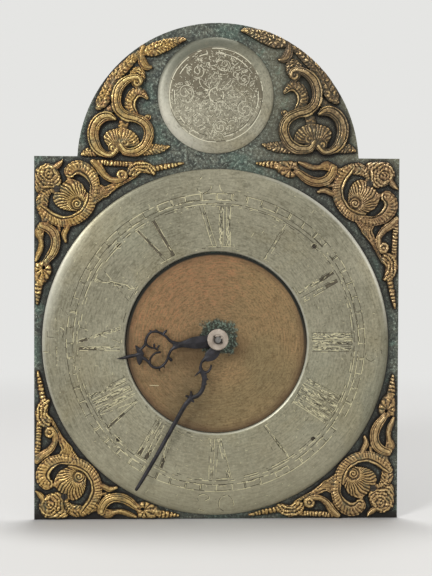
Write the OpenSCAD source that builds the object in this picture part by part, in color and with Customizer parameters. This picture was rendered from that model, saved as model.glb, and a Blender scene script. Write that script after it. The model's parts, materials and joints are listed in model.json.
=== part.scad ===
// Thirty-hour posted clock movement with its arched dial and hands.
// Millimetres. Z is up, the dial faces -Y, and the origin is the centre of the bottom plate's underside.

/* [Dial] */
// Width of the dial's square part
dial_w = 280; // [200:1:320]
// Height of the dial's square part
dial_h = 278; // [200:1:320]
// Thickness of the dial plate
dial_t = 2; // [1:0.1:4]
// Radius of the arch at the top
arch_r = 107.9; // [80:0.1:120]
// How far the arch's centre lies below the square's top edge
arch_drop = 5.5; // [0:0.1:20]
// Outer radius of the chapter ring
ring_r = 133.2; // [90:0.1:140]
// Inner radius of the chapter ring
ring_hole_r = 69.8; // [50:0.1:90]
// Height of the chapter ring's crown
ring_t = 2.9; // [1:0.1:5]
// Radius of the disc in the arch
boss_r = 44.4; // [30:0.1:60]
// Radius of the brass sheet at the centre
disc_r = 69.1; // [50:0.1:89]

/* [Hands] */
// Where the hour hand points, clockwise from twelve
hour_angle = 258.8; // [0:0.1:360]
// Where the minute hand points, clockwise from twelve
minute_angle = 208.3; // [0:0.1:360]
// Thickness of both hands
hand_t = 1.4; // [0.8:0.1:2]

/* [Frame] */
// Width of the top and bottom plates
plate_w = 124; // [100:1:160]
// Depth of the top and bottom plates
plate_d = 96; // [80:1:120]
// Thickness of the top and bottom plates
plate_t = 4; // [2:0.5:6]
// Height over both plates
frame_h = 180; // [160:1:200]
// Side of the square posts
post_s = 9; // [6:0.5:12]
// Width of the bars that hold the pivots
bar_w = 24; // [18:1:30]

/* [Going train] */
// Teeth on the great wheel
great_n = 60; // [48:1:96]
// Leaves on the second pinion
second_pin_n = 8; // [6:1:12]
// Module of the great wheel
great_m = 1.4; // [1:0.1:2]
// Teeth on the second wheel
second_n = 56; // [48:1:72]
// Leaves on the escape pinion
escape_pin_n = 7; // [6:1:8]
// Module of the second wheel
second_m = 1.1; // [0.8:0.1:1.5]
// Teeth on the escape wheel
escape_n = 30; // [24:1:36]
// Tip radius of the escape wheel
escape_r = 21; // [16:0.5:24]

/* [Motion work] */
// Teeth on the hour wheel
hour_n = 72; // [60:1:96]
// Leaves of the pinion that drives it
report_n = 6; // [4:1:8]
// Module of the hour wheel
hour_m = 1; // [0.8:0.1:1.5]
// Teeth on each of the two equal wheels
minute_n = 32; // [24:1:48]

/* [Hidden] */
$fn = 48;

IRON = [0.30, 0.30, 0.31];
STEEL = [0.50, 0.51, 0.53];
BLUED = [0.20, 0.21, 0.24];
BRASS = [0.76, 0.60, 0.32];
GILT = [0.78, 0.62, 0.34];
PEWTER = [0.62, 0.61, 0.55];
DIAL = [0.31, 0.37, 0.35];

// Heights of the arbors above the underside
great_z = 50;
hand_z = great_z + hour_m * (hour_n + report_n) / 2;
second_z = great_z + great_m * (great_n + second_pin_n) / 2;
escape_z = second_z + second_m * (second_n + escape_pin_n) / 2;
pallet_z = escape_z + escape_r * sqrt(2);
minute_m = 2 * (hand_z - great_z) / (2 * minute_n);

// Depths, counted forward from the middle of the frame
bar_f = 36;
bar_t = 4;
dial_f = 66;
face_f = dial_f + dial_t;
hour_hand_f = face_f + 4.2;
minute_hand_f = face_f + 8.2;
post_x = 54;
post_y = 41;
foot_z = [20, 150];
foot_r = 2.5;

// Offsets on the dial, from the hands' axis
ring_x = -0.9;
ring_y = -2.9;
boss_x = -1.9;
boss_y = 186.1;
arch_x = 0.5;
rivet_x = 74.8;
rivet_y = 74.1;
rivet_r = 1.4;
centre_hole_r = 7;

// Pivots and their running clearance
run = 0.05;
pivot_r = 1.2;
great_pivot_r = 4;
back_pivot_r = 2;
bush_r = 3.5;
stud_r = 2.2;
minute_pipe_r = 3.8;
hour_pipe_r = 5.2;
square_s = 5.3;
arbor_r = 5;

// Places a piece drawn as seen from the front, with its back at depth f
module at(x, z, f) {
  translate([x, -f, z]) rotate([90, 0, 0]) children();
}

module disc(r, t, bore = 0) {
  if (bore > 0) difference() {
    cylinder(r = r, h = t);
    translate([0, 0, -1]) cylinder(r = bore, h = t + 2);
  }
  else cylinder(r = r, h = t);
}

// Curves through a few stations, each with a width
function cr(a, b, c, d, t) =
  0.5 * ((2 * b) + (c - a) * t + (2 * a - 5 * b + 4 * c - d) * t * t + (3 * b - a - 3 * c + d) * t * t * t);

function smooth(p, n) = concat(
  [for (i = [0:len(p) - 2]) for (k = [0:n - 1])
    cr(p[max(i - 1, 0)], p[i], p[i + 1], p[min(i + 2, len(p) - 1)], k / n)],
  [p[len(p) - 1]]);

function closed(p, n) = [for (i = [0:len(p) - 1]) for (k = [0:n - 1])
  cr(p[(i + len(p) - 1) % len(p)], p[i], p[(i + 1) % len(p)], p[(i + 2) % len(p)], k / n)];

function heading(q, i) = let (
  a = q[max(i - 1, 0)],
  b = q[min(i + 1, len(q) - 1)],
  d = [b[0] - a[0], b[1] - a[1]]) [-d[1], d[0]] / norm(d);

function edge(q, i, s) = [q[i][0], q[i][1]] + s * q[i][2] / 2 * heading(q, i);

module ribbon(p, n = 3) {
  q = smooth(p, n);
  for (i = [0:len(q) - 2])
    polygon([edge(q, i, 1), edge(q, i + 1, 1), edge(q, i + 1, -1), edge(q, i, -1)]);
  for (i = [0:n:len(q) - 1])
    translate([q[i][0], q[i][1]]) circle(r = max(abs(q[i][2]) / 2, 0.15), $fn = 10);
}

module blob(p, n = 2) {
  polygon(closed(p, n));
}

module dot(x, y, r, fn = 20) {
  translate([x, y]) circle(r = r, $fn = fn);
}

// Gear teeth with radial flanks and rolled-circle tips
function roll(pr, g, r) = g / pr * acos(((pr + g) * (pr + g) + g * g - r * r) / (2 * (pr + g) * g));

function lead(pr, g, r) = let (
  t = roll(pr, g, r),
  u = t * (pr + g) / g) atan2((pr + g) * sin(t) - g * sin(u), (pr + g) * cos(t) - g * cos(u));

function spoke(r, a) = [r * cos(a), r * sin(a)];

function tooth(pr, g, h, tip, root, a, n) = concat(
  [spoke(root, a - h)],
  [for (k = [0:n]) let (r = pr + (tip - pr) * k / n) spoke(r, a - h + lead(pr, g, r))],
  [for (k = [n:-1:0]) let (r = pr + (tip - pr) * k / n) spoke(r, a + h - lead(pr, g, r))],
  [spoke(root, a + h)]);

module toothed(count, pr, g, share, tip, root, n = 3) {
  polygon([for (i = [0:count - 1])
    for (p = tooth(pr, g, share * 180 / count, tip, root, i * 360 / count, n)) p]);
}

function leaf(pr, h, root, a) = let (w = pr * sin(h), c = pr * cos(h)) concat(
  [spoke(root, a - h)],
  [for (t = [-90:30:90]) let (p = [c + w * cos(t), w * sin(t)]) spoke(norm(p), a + atan2(p[1], p[0]))],
  [spoke(root, a + h)]);

module leaves(count, pr, share, root) {
  polygon([for (i = [0:count - 1])
    for (p = leaf(pr, share * 180 / count, root, i * 360 / count)) p]);
}

// A crossed-out wheel lying flat, teeth given as its outline
module crossed(t, rim_r, hub_r, arm_w, bore, turn = 0) {
  difference() {
    union() {
      difference() {
        linear_extrude(height = t) children();
        translate([0, 0, -1]) cylinder(r = rim_r, h = t + 2);
      }
      cylinder(r = hub_r, h = t);
      for (a = [0:90:270]) linear_extrude(height = t)
        polygon([for (p = [[hub_r * 0.6, -arm_w * 0.65], [rim_r + 0.8, -arm_w * 0.4],
                           [rim_r + 0.8, arm_w * 0.4], [hub_r * 0.6, arm_w * 0.65]])
          spoke(norm(p), a + turn + atan2(p[1], p[0]))]);
    }
    translate([0, 0, -1]) cylinder(r = bore, h = t + 2);
  }
}

module turned(profile) {
  rotate_extrude() polygon(profile);
}

// Dial
module foot_places() {
  for (x = [-post_x, post_x]) for (z = foot_z) translate([x, z - hand_z]) children();
}

module rivet_places() {
  for (x = [-rivet_x, rivet_x]) for (y = [-rivet_y, rivet_y])
    translate([ring_x + x, ring_y + y]) children();
}

// The same corner casting sits in every corner, turned a quarter each time and pinned a little off
corners = [[-1, 1, 0, 0, 0], [-1, -1, 90, -2, 0.5], [1, -1, 180, -1.8, -1.8], [1, 1, 270, 1.9, -2]];

module in_corner(i) {
  c = corners[i];
  translate([c[0] * dial_w / 2 + c[3], c[1] * dial_h / 2 + c[4]]) rotate([0, 0, c[2]]) children();
}

module corner_screw_places() {
  for (i = [0:3]) in_corner(i) translate([17.4, -25.3]) children();
}

// The right arch casting is the left one's mirror image, a little larger and pinned a little higher
arch_grow = 1.07;
arch_turn = 2.2;
arch_mid = [74, 23.9];
arch_mid_right = [71.5, 28.6];

module on_right_arch() {
  translate(arch_mid_right) rotate([0, 0, arch_turn]) scale([arch_grow, arch_grow]) mirror([1, 0])
    translate([arch_mid[0], -arch_mid[1]]) children();
}

function right_arch_spot(x, y) = let (
  u = arch_grow * (-x - arch_mid[0]),
  v = arch_grow * (y - arch_mid[1])) [
  arch_mid_right[0] + u * cos(arch_turn) - v * sin(arch_turn),
  arch_mid_right[1] + u * sin(arch_turn) + v * cos(arch_turn)];

arch_screws = [[-71.6, 10.9], right_arch_spot(-71.6, 10.9)];

module arch_screw_places() {
  for (p = arch_screws) translate([arch_x + p[0], dial_h / 2 + p[1]]) children();
}

module dial_plate() color(DIAL) at(0, hand_z, dial_f) difference() {
  union() {
    translate([-dial_w / 2, -dial_h / 2, 0]) cube([dial_w, dial_h, dial_t]);
    intersection() {
      translate([arch_x, dial_h / 2 - arch_drop, 0]) cylinder(r = arch_r, h = dial_t);
      translate([-dial_w / 2, dial_h / 2 - arch_drop, -1]) cube([dial_w, arch_r + 5, dial_t + 2]);
    }
  }
  translate([0, 0, -1]) cylinder(r = centre_hole_r, h = dial_t + 2);
  translate([0, 0, -1]) foot_places() cylinder(r = foot_r, h = dial_t + 2);
  translate([0, 0, -1]) rivet_places() cylinder(r = rivet_r, h = dial_t + 2);
  translate([0, 0, -1]) corner_screw_places() cylinder(r = 1.4, h = dial_t + 2);
  translate([0, 0, -1]) arch_screw_places() cylinder(r = 1.4, h = dial_t + 2);
  translate([boss_x, boss_y, -1]) cylinder(r = 3, h = dial_t + 2);
}

module centre_disc() color(BRASS) at(0, hand_z, face_f)
  difference() {
    translate([ring_x + 0.2, ring_y - 0.2, 0]) cylinder(r = disc_r, h = 0.9);
    translate([0, 0, -1]) cylinder(r = centre_hole_r, h = 3);
  }

module chapter_ring() color(PEWTER) at(ring_x, hand_z + ring_y, face_f) difference() {
  turned([[ring_hole_r, 0], [ring_r - 0.6, 0], [ring_r, 0.5], [ring_r - 1.2, 1.2], [ring_r - 5, 2.0],
          [ring_r - 12, ring_t - 0.3], [ring_r - 24, ring_t], [ring_hole_r + 10, ring_t],
          [ring_hole_r + 1.4, ring_t - 0.3], [ring_hole_r, ring_t - 1]]);
  translate([-ring_x, -ring_y, -1]) rivet_places() cylinder(r = rivet_r, h = 6);
}

module ring_rivets() color(STEEL) at(0, hand_z, dial_f - 1)
  rivet_places() cylinder(r = rivet_r, h = 1 + dial_t + ring_t - 0.6);

module arch_boss() color(PEWTER) at(boss_x, hand_z + boss_y, face_f) difference() {
  turned([[0, 0], [boss_r, 0], [boss_r, 0.8], [boss_r - 1.2, 2.2], [boss_r - 3, 3], [boss_r - 5, 3.1],
          [boss_r - 7.2, 2.5], [boss_r - 8, 2.4], [24, 3.1], [10, 3.6], [0, 3.7]]);
  translate([0, 0, -1]) cylinder(r = 3, h = 2.5);
}

module boss_rivet() color(BRASS) at(boss_x, hand_z + boss_y, dial_f - 1.2) {
  cylinder(r = 5, h = 1.2);
  cylinder(r = 3, h = 1.2 + dial_t + 1.5);
}

// Corner casting, drawn for the top left from the square's corner: x right, y up
module corner_outline() {
  blob([[17.4, -20.6], [22.2, -22.4], [21.8, -27.4], [17.4, -29.6], [12.6, -27.6], [12.8, -22.6]]);
  ribbon([[43, -12, 4], [47.6, -12.6, 3], [51, -13, 3]]);
  ribbon([[9, -44, 6], [8.2, -49, 6], [8.4, -54, 5]]);
  ribbon([[18.5, -50.5, 3], [19, -56, 3.4], [18, -61, 3]]);
  ribbon([[13, -26.4, 2.8], [8.4, -29.4, 7.4], [6.4, -33.6, 9.6], [6.2, -39, 8.4]]);
  ribbon([[53.9, -28.4, 5.8], [59.6, -24.2, 5], [65.3, -20.9, 3.3], [72, -17.4, 2.8],
          [77.7, -14.4, 2.8]]);
  blob([[45.9, -29], [49, -24.6], [50.1, -21.2], [54, -22.6], [58.4, -20.6], [65.4, -19.6],
        [64.4, -23.6], [59, -27.2], [54, -31.2], [46.6, -36]]);
  blob([[0.7, -14.8], [2.1, -9.6], [6.4, -6.4], [12, -6], [17.2, -9], [20.4, -15.6], [20.6, -21.6],
        [17, -24.1], [11.3, -25.2], [5.6, -26.8], [2.3, -28.3], [0.7, -23]]);
  dot(11.4, -13.6, 2.4);
  ribbon([[13.6, -9.6, 3.6], [17.4, -7.8, 4.6], [19.8, -5.7, 3.6], [21.4, -3.5, 1.3]]);
  ribbon([[43.4, -28, 6.6], [43.2, -33.6, 8.4], [40.8, -39.8, 8.8], [36.2, -45, 8.6],
          [30.4, -48.6, 8.2], [22.9, -49.9, 8.4], [15.4, -48, 9], [9, -43.9, 9], [5, -39.6, 5.4]]);
  blob([[42, -30.6], [39.8, -26.4], [37.4, -22], [33, -18.4], [28.4, -16.8], [25.2, -17.9],
        [22, -20.4], [19.2, -23.8], [16, -27], [14.2, -31], [14.8, -34.6], [17, -38], [20.4, -40.2],
        [25, -41.6], [30, -42], [36, -42.4], [40.6, -38]]);
  dot(34.2, -37, 6.2);
  dot(32.8, -36.4, 3.6);
  ribbon([[27.6, -12, 9.6], [31, -9.2, 10.8], [36, -9.1, 10.8], [41, -12.2, 10.8], [44.2, -16.9, 9.6],
          [45.9, -22.6, 8.2], [45.4, -29.4, 7]]);
  ribbon([[26, -13.5, 4], [26.4, -17, 3.4], [28, -19.8, 3]]);
  ribbon([[43.2, -3.9, 2.8], [50.6, -4.6, 4.8], [57.9, -5.2, 4.6], [67, -5.7, 4.4], [76, -6, 4.2]]);
  ribbon([[45, -4.6, 4], [49.6, -8.8, 5.6], [53.4, -14.2, 5.2], [58.8, -17.8, 4.4], [64.4, -17.6, 4.2],
          [69.4, -15.2, 3.4]]);
  dot(66.8, -14.2, 4.7);
  blob([[70.3, -10.6], [73.5, -4.4], [81.8, -2.9], [88.3, -5.1], [92.9, -9.2], [91.9, -14.2],
        [87.5, -13.6], [81.8, -12.6], [77.3, -16], [71.4, -14.4]]);
  ribbon([[89.2, -9.6, 5.6], [96.6, -8, 4.8], [104, -6.6, 4.2], [113, -5, 2]]);
  ribbon([[1.6, -79.6, 2.2], [3.5, -74.7, 4.2], [5.4, -68.9, 4.2], [5.1, -63.2, 4.2],
          [4.1, -58.6, 7.2], [6.4, -53, 6]]);
  dot(4.6, -58.2, 3.1);
  ribbon([[26.4, -52, 4.1], [24.6, -56, 4.4], [22.9, -59.8, 4.4], [24, -64.9, 2.5]]);
  ribbon([[5.6, -53.4, 5], [10, -54.4, 6.8], [14.4, -58, 7.2], [16.6, -63.8, 7.2], [15.9, -70.2, 7.2],
          [12.7, -75.8, 6.8], [9.4, -80, 5.2]]);
  blob([[0.9, -82.1], [4.7, -80.2], [10.5, -79.2], [13.2, -84.2], [13.2, -88.9], [10.3, -94.6],
        [6.4, -98.6], [1.5, -98.2], [0.2, -90.3]]);
  ribbon([[3.9, -96.9, 6.4], [3, -104.3, 5.2], [2.5, -112.2, 2]]);
}

module corner_holes() {
  dot(7.6, -85, 1.3, 14);
  dot(17.4, -25.3, 1.45, 24);
  ribbon([[31, -15.3, 1.8], [35, -16, 3.2], [38.7, -18.9, 3.8], [41, -22.7, 3.8], [41.2, -27.2, 2.2]]);
  ribbon([[12.7, -31.6, 2.2], [12.6, -36.2, 3.2], [15.4, -40.6, 4], [19.4, -43, 3.2], [24, -43.6, 2.2],
          [28.6, -43, 1.4]]);
}

// Arch casting for the left, from the hands' axis and the square's top: x right, y up
module arch_outline() {
  ribbon([[-76.2, 4, 3.2], [-74.6, 7, 3.4], [-74.8, 10.5, 3]]);
  ribbon([[-88.4, 30.5, 4], [-84.4, 34, 6], [-80, 37.4, 6]]);
  ribbon([[-74, 18, 6], [-73, 23.6, 7.4], [-71, 28.6, 6.6]]);
  ribbon([[-63, 53.6, 3], [-60.6, 51, 4], [-59.6, 47.6, 4]]);
  ribbon([[-92, 36.6, 4], [-88.8, 41.4, 9.4], [-85.2, 48.2, 10], [-81.6, 55.6, 9.6], [-77, 62.4, 8.8],
          [-71.8, 67.9, 8], [-66.6, 73.2, 7], [-61.4, 78, 4.6]]);
  ribbon([[-57.9, 82, 5.6], [-59.2, 76.6, 5], [-58, 71, 7], [-55.4, 68.2, 5.6], [-52.2, 67.9, 3]]);
  ribbon([[-67, 61.6, 4], [-62.6, 64.6, 7], [-58.8, 62.6, 5.6], [-58.6, 58.4, 4.4]]);
  ribbon([[-54.6, 79.6, 7], [-49.2, 81.2, 10.4], [-42.5, 83.9, 9.8], [-35.9, 86.5, 7.6],
          [-30.2, 88.4, 5], [-26.2, 89.2, 2.4]]);
  ribbon([[-104, 1.4, 2.4], [-99.8, 3, 6.4], [-94, 3.2, 6.8], [-88, 2, 4.4]]);
  ribbon([[-72.8, 1.6, 2.4], [-64.7, 1.6, 3.6], [-56, 3.8, 6.4], [-50, 5.6, 8.4], [-44, 6.2, 6.2],
          [-38, 7.6, 2]]);
  blob([[-87, 10.4], [-88, 15], [-85.4, 18.8], [-79.8, 21], [-73.4, 21.8], [-67.8, 20.6], [-62.8, 17],
        [-60.4, 12.6], [-61, 8], [-68.7, 6.4], [-76.2, 4.5], [-82.3, 5.5]]);
  ribbon([[-54.8, 44.4, 2.4], [-59, 48.2, 6.6], [-63.8, 47.8, 8.4], [-67.2, 42.8, 8.6],
          [-67.2, 36.8, 8], [-63.8, 31.4, 5.4]]);
  dot(-54.4, 29.8, 2.6);
  ribbon([[-79.4, 28.4, 3.2], [-83.8, 30, 6.6], [-89, 29, 8.2], [-93.7, 24.4, 8.8], [-95.8, 16.9, 8.8],
          [-94.4, 9.6, 8.2], [-91, 4.4, 6.6], [-86, 1.4, 5], [-81, 1.6, 4.6], [-77.8, 5.4, 4]]);
  dot(-80.3, 6.3, 3.8);
  dot(-62.6, 56.2, 4);
  ribbon([[-59.9, 56, 3.6], [-61.2, 59, 4], [-65.8, 59.4, 5.2], [-71.8, 56.6, 6.6], [-76.2, 51, 7.2],
          [-78.1, 44.1, 7.4], [-77.4, 37.6, 7.4], [-74.2, 32.8, 7.4], [-69.4, 30.2, 7.2],
          [-63.6, 29, 7.2], [-57.8, 26.4, 7.4], [-53.9, 21.4, 7.6], [-53.5, 14.9, 7.8],
          [-56.4, 8.4, 7.6], [-61.8, 4.2, 7.2], [-67.8, 3, 6.4], [-72.4, 4.4, 5.4], [-75, 8.4, 4.2]]);
  dot(-72, 10.2, 4.1);
}

module casting(inset = 0.85) {
  linear_extrude(height = 2.6) offset(delta = 0.02) children();
  translate([0, 0, 2.6]) linear_extrude(height = 1.4) offset(delta = -inset) children();
}

module corner_casting(i) {
  color(GILT) at(0, hand_z, face_f) difference() {
    in_corner(i) difference() {
      casting() difference() {
        corner_outline();
        corner_holes();
      }
      translate([17.4, -25.3, 1.6]) cylinder(r = 2.4, h = 5);
    }
    translate([ring_x, ring_y, -1]) cylinder(r = ring_r + 0.6, h = 8);
  }
}

module arch_spandrel_left() color(GILT) at(arch_x, hand_z + dial_h / 2, face_f) difference() {
  intersection() {
    casting() arch_outline();
    translate([0, -arch_drop, -1]) cylinder(r = arch_r - 0.2, h = 8);
  }
  translate([arch_screws[0][0], arch_screws[0][1], -1]) cylinder(r = 1.4, h = 3.2);
}

module arch_spandrel_right() color(GILT) at(arch_x, hand_z + dial_h / 2, face_f) difference() {
  intersection() {
    casting() on_right_arch() arch_outline();
    translate([0, -arch_drop, -1]) cylinder(r = arch_r - 0.2, h = 8);
  }
  translate([arch_screws[1][0], arch_screws[1][1], -1]) cylinder(r = 1.4, h = 3.2);
}

module spandrel_top_left() corner_casting(0);
module spandrel_top_right() corner_casting(3);
module spandrel_bottom_left() corner_casting(1);
module spandrel_bottom_right() corner_casting(2);

module spandrel_screws() color(IRON) at(0, hand_z, 0) {
  corner_screw_places() {
    translate([0, 0, dial_f - 1]) cylinder(r = 1.4, h = dial_t + 3);
    difference() {
      translate([0, 0, face_f + 1.6]) cylinder(r = 2.3, h = 1.1);
      translate([-3, -0.3, face_f + 2.2]) cube([6, 0.6, 2]);
    }
  }
  arch_screw_places() {
    translate([0, 0, dial_f - 1.2]) cylinder(r = 2.6, h = 1.2);
    translate([0, 0, dial_f - 0.5]) cylinder(r = 1.4, h = dial_t + 2.5);
  }
}

module dial_feet() color(BRASS) at(0, hand_z, 0) foot_places() {
  difference() {
    translate([0, 0, 31]) cylinder(r = foot_r, h = face_f - 31);
    translate([0, 5, 34.6]) rotate([90, 0, 0]) cylinder(r = 0.8, h = 10);
  }
  translate([0, 0, post_y + post_s / 2]) cylinder(r = 3.5, h = dial_f - post_y - post_s / 2);
  translate([0, 0, dial_f - 2]) cylinder(r = 6, h = 2);
}

module dial_foot_pins() color(STEEL) at(0, hand_z, 0) foot_places()
  translate([0, 6, 34.6]) rotate([90, 0, 0]) cylinder(r1 = 0.8, r2 = 0.8, h = 12);

// Hands, drawn pointing at twelve
module hour_outline() {
  ribbon([[-0.4, 5, 10], [-0.2, 10.9, 9.8], [0.6, 17.6, 9.2], [1, 23.4, 6.3], [1.2, 28.3, 4.6],
          [1.4, 32.2, 4.9]]);
  ribbon([[2.2, 31, 3.4], [5.3, 35.5, 2.3], [8.8, 37.7, 1.9], [11.5, 40.2, 1.8], [13.8, 43.2, 1.8],
          [15, 46.9, 1.9], [14.4, 50, 2], [12.1, 52.4, 2], [9.5, 53.9, 2.2], [6.7, 54.9, 2.2],
          [4.7, 57.3, 2], [2.8, 60.1, 2.4]]);
  ribbon([[11.5, 40.2, 1.8], [12.9, 38.4, 2.2], [13.9, 37.2, 1.6]]);
  ribbon([[13.8, 43.2, 1.5], [16.4, 45.1, 0.8]]);
  ribbon([[14.9, 47.4, 1.5], [16.5, 49.6, 0.8]]);
  ribbon([[7.4, 54.6, 1.8], [4.8, 52.8, 1.4], [3.2, 50.7, 1.3], [2.4, 48.4, 1.4], [0.9, 46.6, 1.6]]);
  ribbon([[2.4, 48.4, 1.3], [5.2, 48.3, 1.7]]);
  ribbon([[1.7, 47, 1.3], [3.5, 44.9, 1.4]]);
  ribbon([[0.9, 31.5, 4], [-1, 35.7, 2.2], [-3.1, 37.8, 1.9], [-6.2, 39.7, 1.9], [-9.3, 41.8, 1.9],
          [-11.7, 44.7, 2], [-12.8, 47.9, 2], [-12.1, 51.2, 2], [-10.4, 53.4, 2], [-7.7, 54.8, 2],
          [-4.8, 56.7, 2.2], [-2.6, 59.2, 3], [-0.1, 60.7, 4.4]]);
  ribbon([[-7.8, 54.3, 1.8], [-5, 53.3, 1.5], [-2.5, 50.8, 1.5], [-1.3, 48.1, 1.5], [-1.4, 45.2, 1.7]]);
  ribbon([[-6.3, 39.4, 1.5], [-8.8, 38, 2.5]]);
  ribbon([[-12.8, 47.9, 1.5], [-15, 48.1, 0.8]]);
  ribbon([[-11.7, 44.5, 1.5], [-13.9, 43.8, 0.8]]);
  ribbon([[1.8, 60.1, 4.4], [4.7, 61.2, 2.9], [6.9, 62.2, 1]]);
  ribbon([[-0.6, 60.6, 5.4], [-4.4, 61.5, 4.2], [-7.5, 62.1, 1.3]]);
  ribbon([[0.2, 59.7, 4.9], [-0.1, 63.2, 2.8], [0, 67.1, 2.8], [-0.2, 71.1, 2.5], [-0.2, 75.1, 1.5],
          [0, 77.8, 0.5]]);
}

module minute_outline() {
  ribbon([[-1.6, 3, 8], [-2.2, 9.4, 8.4], [-1.2, 12.8, 8.8], [0, 16, 5.6]]);
  ribbon([[0, 15.4, 5.1], [2.3, 20.1, 2.1], [2, 23.6, 1.9], [0.5, 26.1, 2.9], [-2.3, 27.9, 4]]);
  ribbon([[-2.2, 27.6, 2.2], [-4.8, 25.6, 1.8], [-5.7, 22.4, 1.6], [-5.1, 19.8, 1.4]]);
  ribbon([[-0.2, 26.2, 2.2], [0.9, 29.6, 1.6], [2.1, 32.8, 0.6]]);
  ribbon([[-2.2, 27.6, 4], [-4.2, 29.4, 4.2], [-5.7, 31.9, 3.7], [-6.6, 34.7, 3.5], [-7.7, 37.8, 3.2],
          [-7.7, 41.6, 3.3], [-6.7, 45, 3.3], [-4.7, 47.5, 3.2], [-3.1, 49.6, 3.7]]);
  ribbon([[-5.3, 30.4, 2.2], [-7.7, 30.2, 1.1]]);
  ribbon([[-6.3, 33.2, 2.2], [-8.4, 34.3, 1.3]]);
  ribbon([[-3.2, 49.3, 3.7], [-2.3, 46.5, 2.3], [-1.1, 44.7, 1.4]]);
  ribbon([[-2.5, 48.9, 2.2], [0.4, 49.1, 1.7]]);
  ribbon([[-3.6, 50, 2.2], [-6.2, 50.3, 1.6]]);
  ribbon([[-3.2, 49.3, 4], [-2.5, 53.4, 3.5], [-1.8, 59.6, 3.4], [-1.4, 94.6, 3.1], [-0.6, 119.6, 2.4],
          [0, 130.8, 0.5]]);
}

module hour_hand() color(BLUED) at(0, hand_z, 0) rotate([0, 0, -hour_angle]) difference() {
  union() {
    translate([0, 0, hour_hand_f]) linear_extrude(height = hand_t) offset(delta = 0.02) hour_outline();
    translate([0, 0, hour_hand_f - 0.6]) cylinder(r = 8, h = 2.6);
  }
  cylinder(r = hour_pipe_r, h = 100);
}

module minute_hand() color(BLUED) at(0, hand_z, 0) rotate([0, 0, -minute_angle]) difference() {
  union() {
    translate([0, 0, minute_hand_f]) linear_extrude(height = hand_t) offset(delta = 0.02) minute_outline();
    translate([0, 0, minute_hand_f - 0.4]) cylinder(r = 7, h = 2.2);
  }
  translate([-square_s / 2, -square_s / 2, 60]) cube([square_s, square_s, 40]);
}

module hand_collet() color(PEWTER) at(0, hand_z, minute_hand_f + 1.8)
  turned([[stud_r + 0.08, 0], [8, 0], [8, 0.9], [7.4, 1.5], [4.4, 1.8], [4, 1.3], [stud_r + 0.08, 1.3]]);

module hand_pin() color(STEEL) at(0, hand_z, 80.3) rotate([0, 0, 52])
  translate([0, -4.2, 0]) rotate([-90, 0, 0]) cylinder(r1 = 0.55, r2 = 0.55, h = 8.4);

// Frame
module bottom_plate() color(IRON) difference() {
  translate([-plate_w / 2, -plate_d / 2, 0]) cube([plate_w, plate_d, plate_t]);
  for (x = [-post_x, post_x]) for (y = [-post_y, post_y])
    translate([x, y, -1]) cylinder(r = 3, h = plate_t + 2);
  for (y = [-1, 1]) translate([-8, y * (bar_f + bar_t / 2) - bar_t / 2, -1]) cube([16, bar_t, plate_t + 2]);
  for (x = [-1, 1]) translate([x * 19 - 7, -20, -1]) cube([14, 14, plate_t + 2]);
  for (x = [-38, 38]) for (y = [-26, 26]) translate([x, y, -1]) cylinder(r = 3.2, h = plate_t + 2);
}

module top_plate() color(IRON) difference() {
  translate([-plate_w / 2, -plate_d / 2, frame_h - plate_t]) cube([plate_w, plate_d, plate_t]);
  for (x = [-post_x, post_x]) for (y = [-post_y, post_y])
    translate([x, y, frame_h - plate_t - 1]) cylinder(r = 3, h = plate_t + 2);
  for (y = [-1, 1])
    translate([-8, y * (bar_f + bar_t / 2) - bar_t / 2, frame_h - plate_t - 1]) cube([16, bar_t, plate_t + 2]);
  for (x = [-15.5, 15.5]) translate([x, 38, frame_h - plate_t - 1]) cylinder(r = 1.8, h = plate_t + 2);
}

module post(sx, sy) color(IRON) translate([sx * post_x, sy * post_y, 0]) difference() {
  union() {
    cylinder(r = 3, h = frame_h + 8);
    translate([-post_s / 2, -post_s / 2, plate_t]) cube([post_s, post_s, frame_h - 2 * plate_t]);
    translate([-post_s / 2 - 1.2, -post_s / 2 - 1.2, plate_t]) cube([post_s + 2.4, post_s + 2.4, 3]);
    translate([-post_s / 2 - 1.2, -post_s / 2 - 1.2, frame_h - plate_t - 3])
      cube([post_s + 2.4, post_s + 2.4, 3]);
  }
  if (sy < 0) for (z = foot_z)
    translate([0, 10, z]) rotate([90, 0, 0]) cylinder(r = foot_r, h = 20);
}

module post_front_left() post(-1, -1);
module post_front_right() post(1, -1);
module post_back_left() post(-1, 1);
module post_back_right() post(1, 1);

module post_nuts() color(IRON)
  for (x = [-post_x, post_x]) for (y = [-post_y, post_y]) translate([x, y, frame_h]) difference() {
    translate([-5.5, -5.5, 0]) cube([11, 11, 5]);
    translate([0, 0, -1]) cylinder(r = 3, h = 7);
  }

module bar_blank() {
  translate([-bar_w / 2, 0, plate_t]) cube([bar_w, bar_t, frame_h - 2 * plate_t]);
  translate([-8, 0, 0.4]) cube([16, bar_t, frame_h + 9.6]);
}

module front_bar() color(IRON) translate([0, -bar_f - bar_t, 0]) difference() {
  bar_blank();
  translate([-2.5, -1, frame_h]) cube([5, bar_t + 2, 6]);
  translate([0, -1, great_z]) rotate([-90, 0, 0]) cylinder(r = 7, h = bar_t + 2);
  translate([0, -1, hand_z]) rotate([-90, 0, 0]) cylinder(r = 2.5, h = bar_t + 2);
  for (z = [second_z, escape_z, pallet_z])
    translate([0, -1, z]) rotate([-90, 0, 0]) cylinder(r = bush_r, h = bar_t + 2);
}

module back_bar() color(IRON) translate([0, bar_f, 0]) difference() {
  bar_blank();
  translate([-2.5, -1, frame_h]) cube([5, bar_t + 2, 6]);
  translate([0, -1, great_z]) rotate([-90, 0, 0]) cylinder(r = 5, h = bar_t + 2);
  for (z = [second_z, escape_z])
    translate([0, -1, z]) rotate([-90, 0, 0]) cylinder(r = bush_r, h = bar_t + 2);
  translate([0, -1, pallet_z]) rotate([-90, 0, 0]) cylinder(r = 6, h = bar_t + 2);
}

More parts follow.
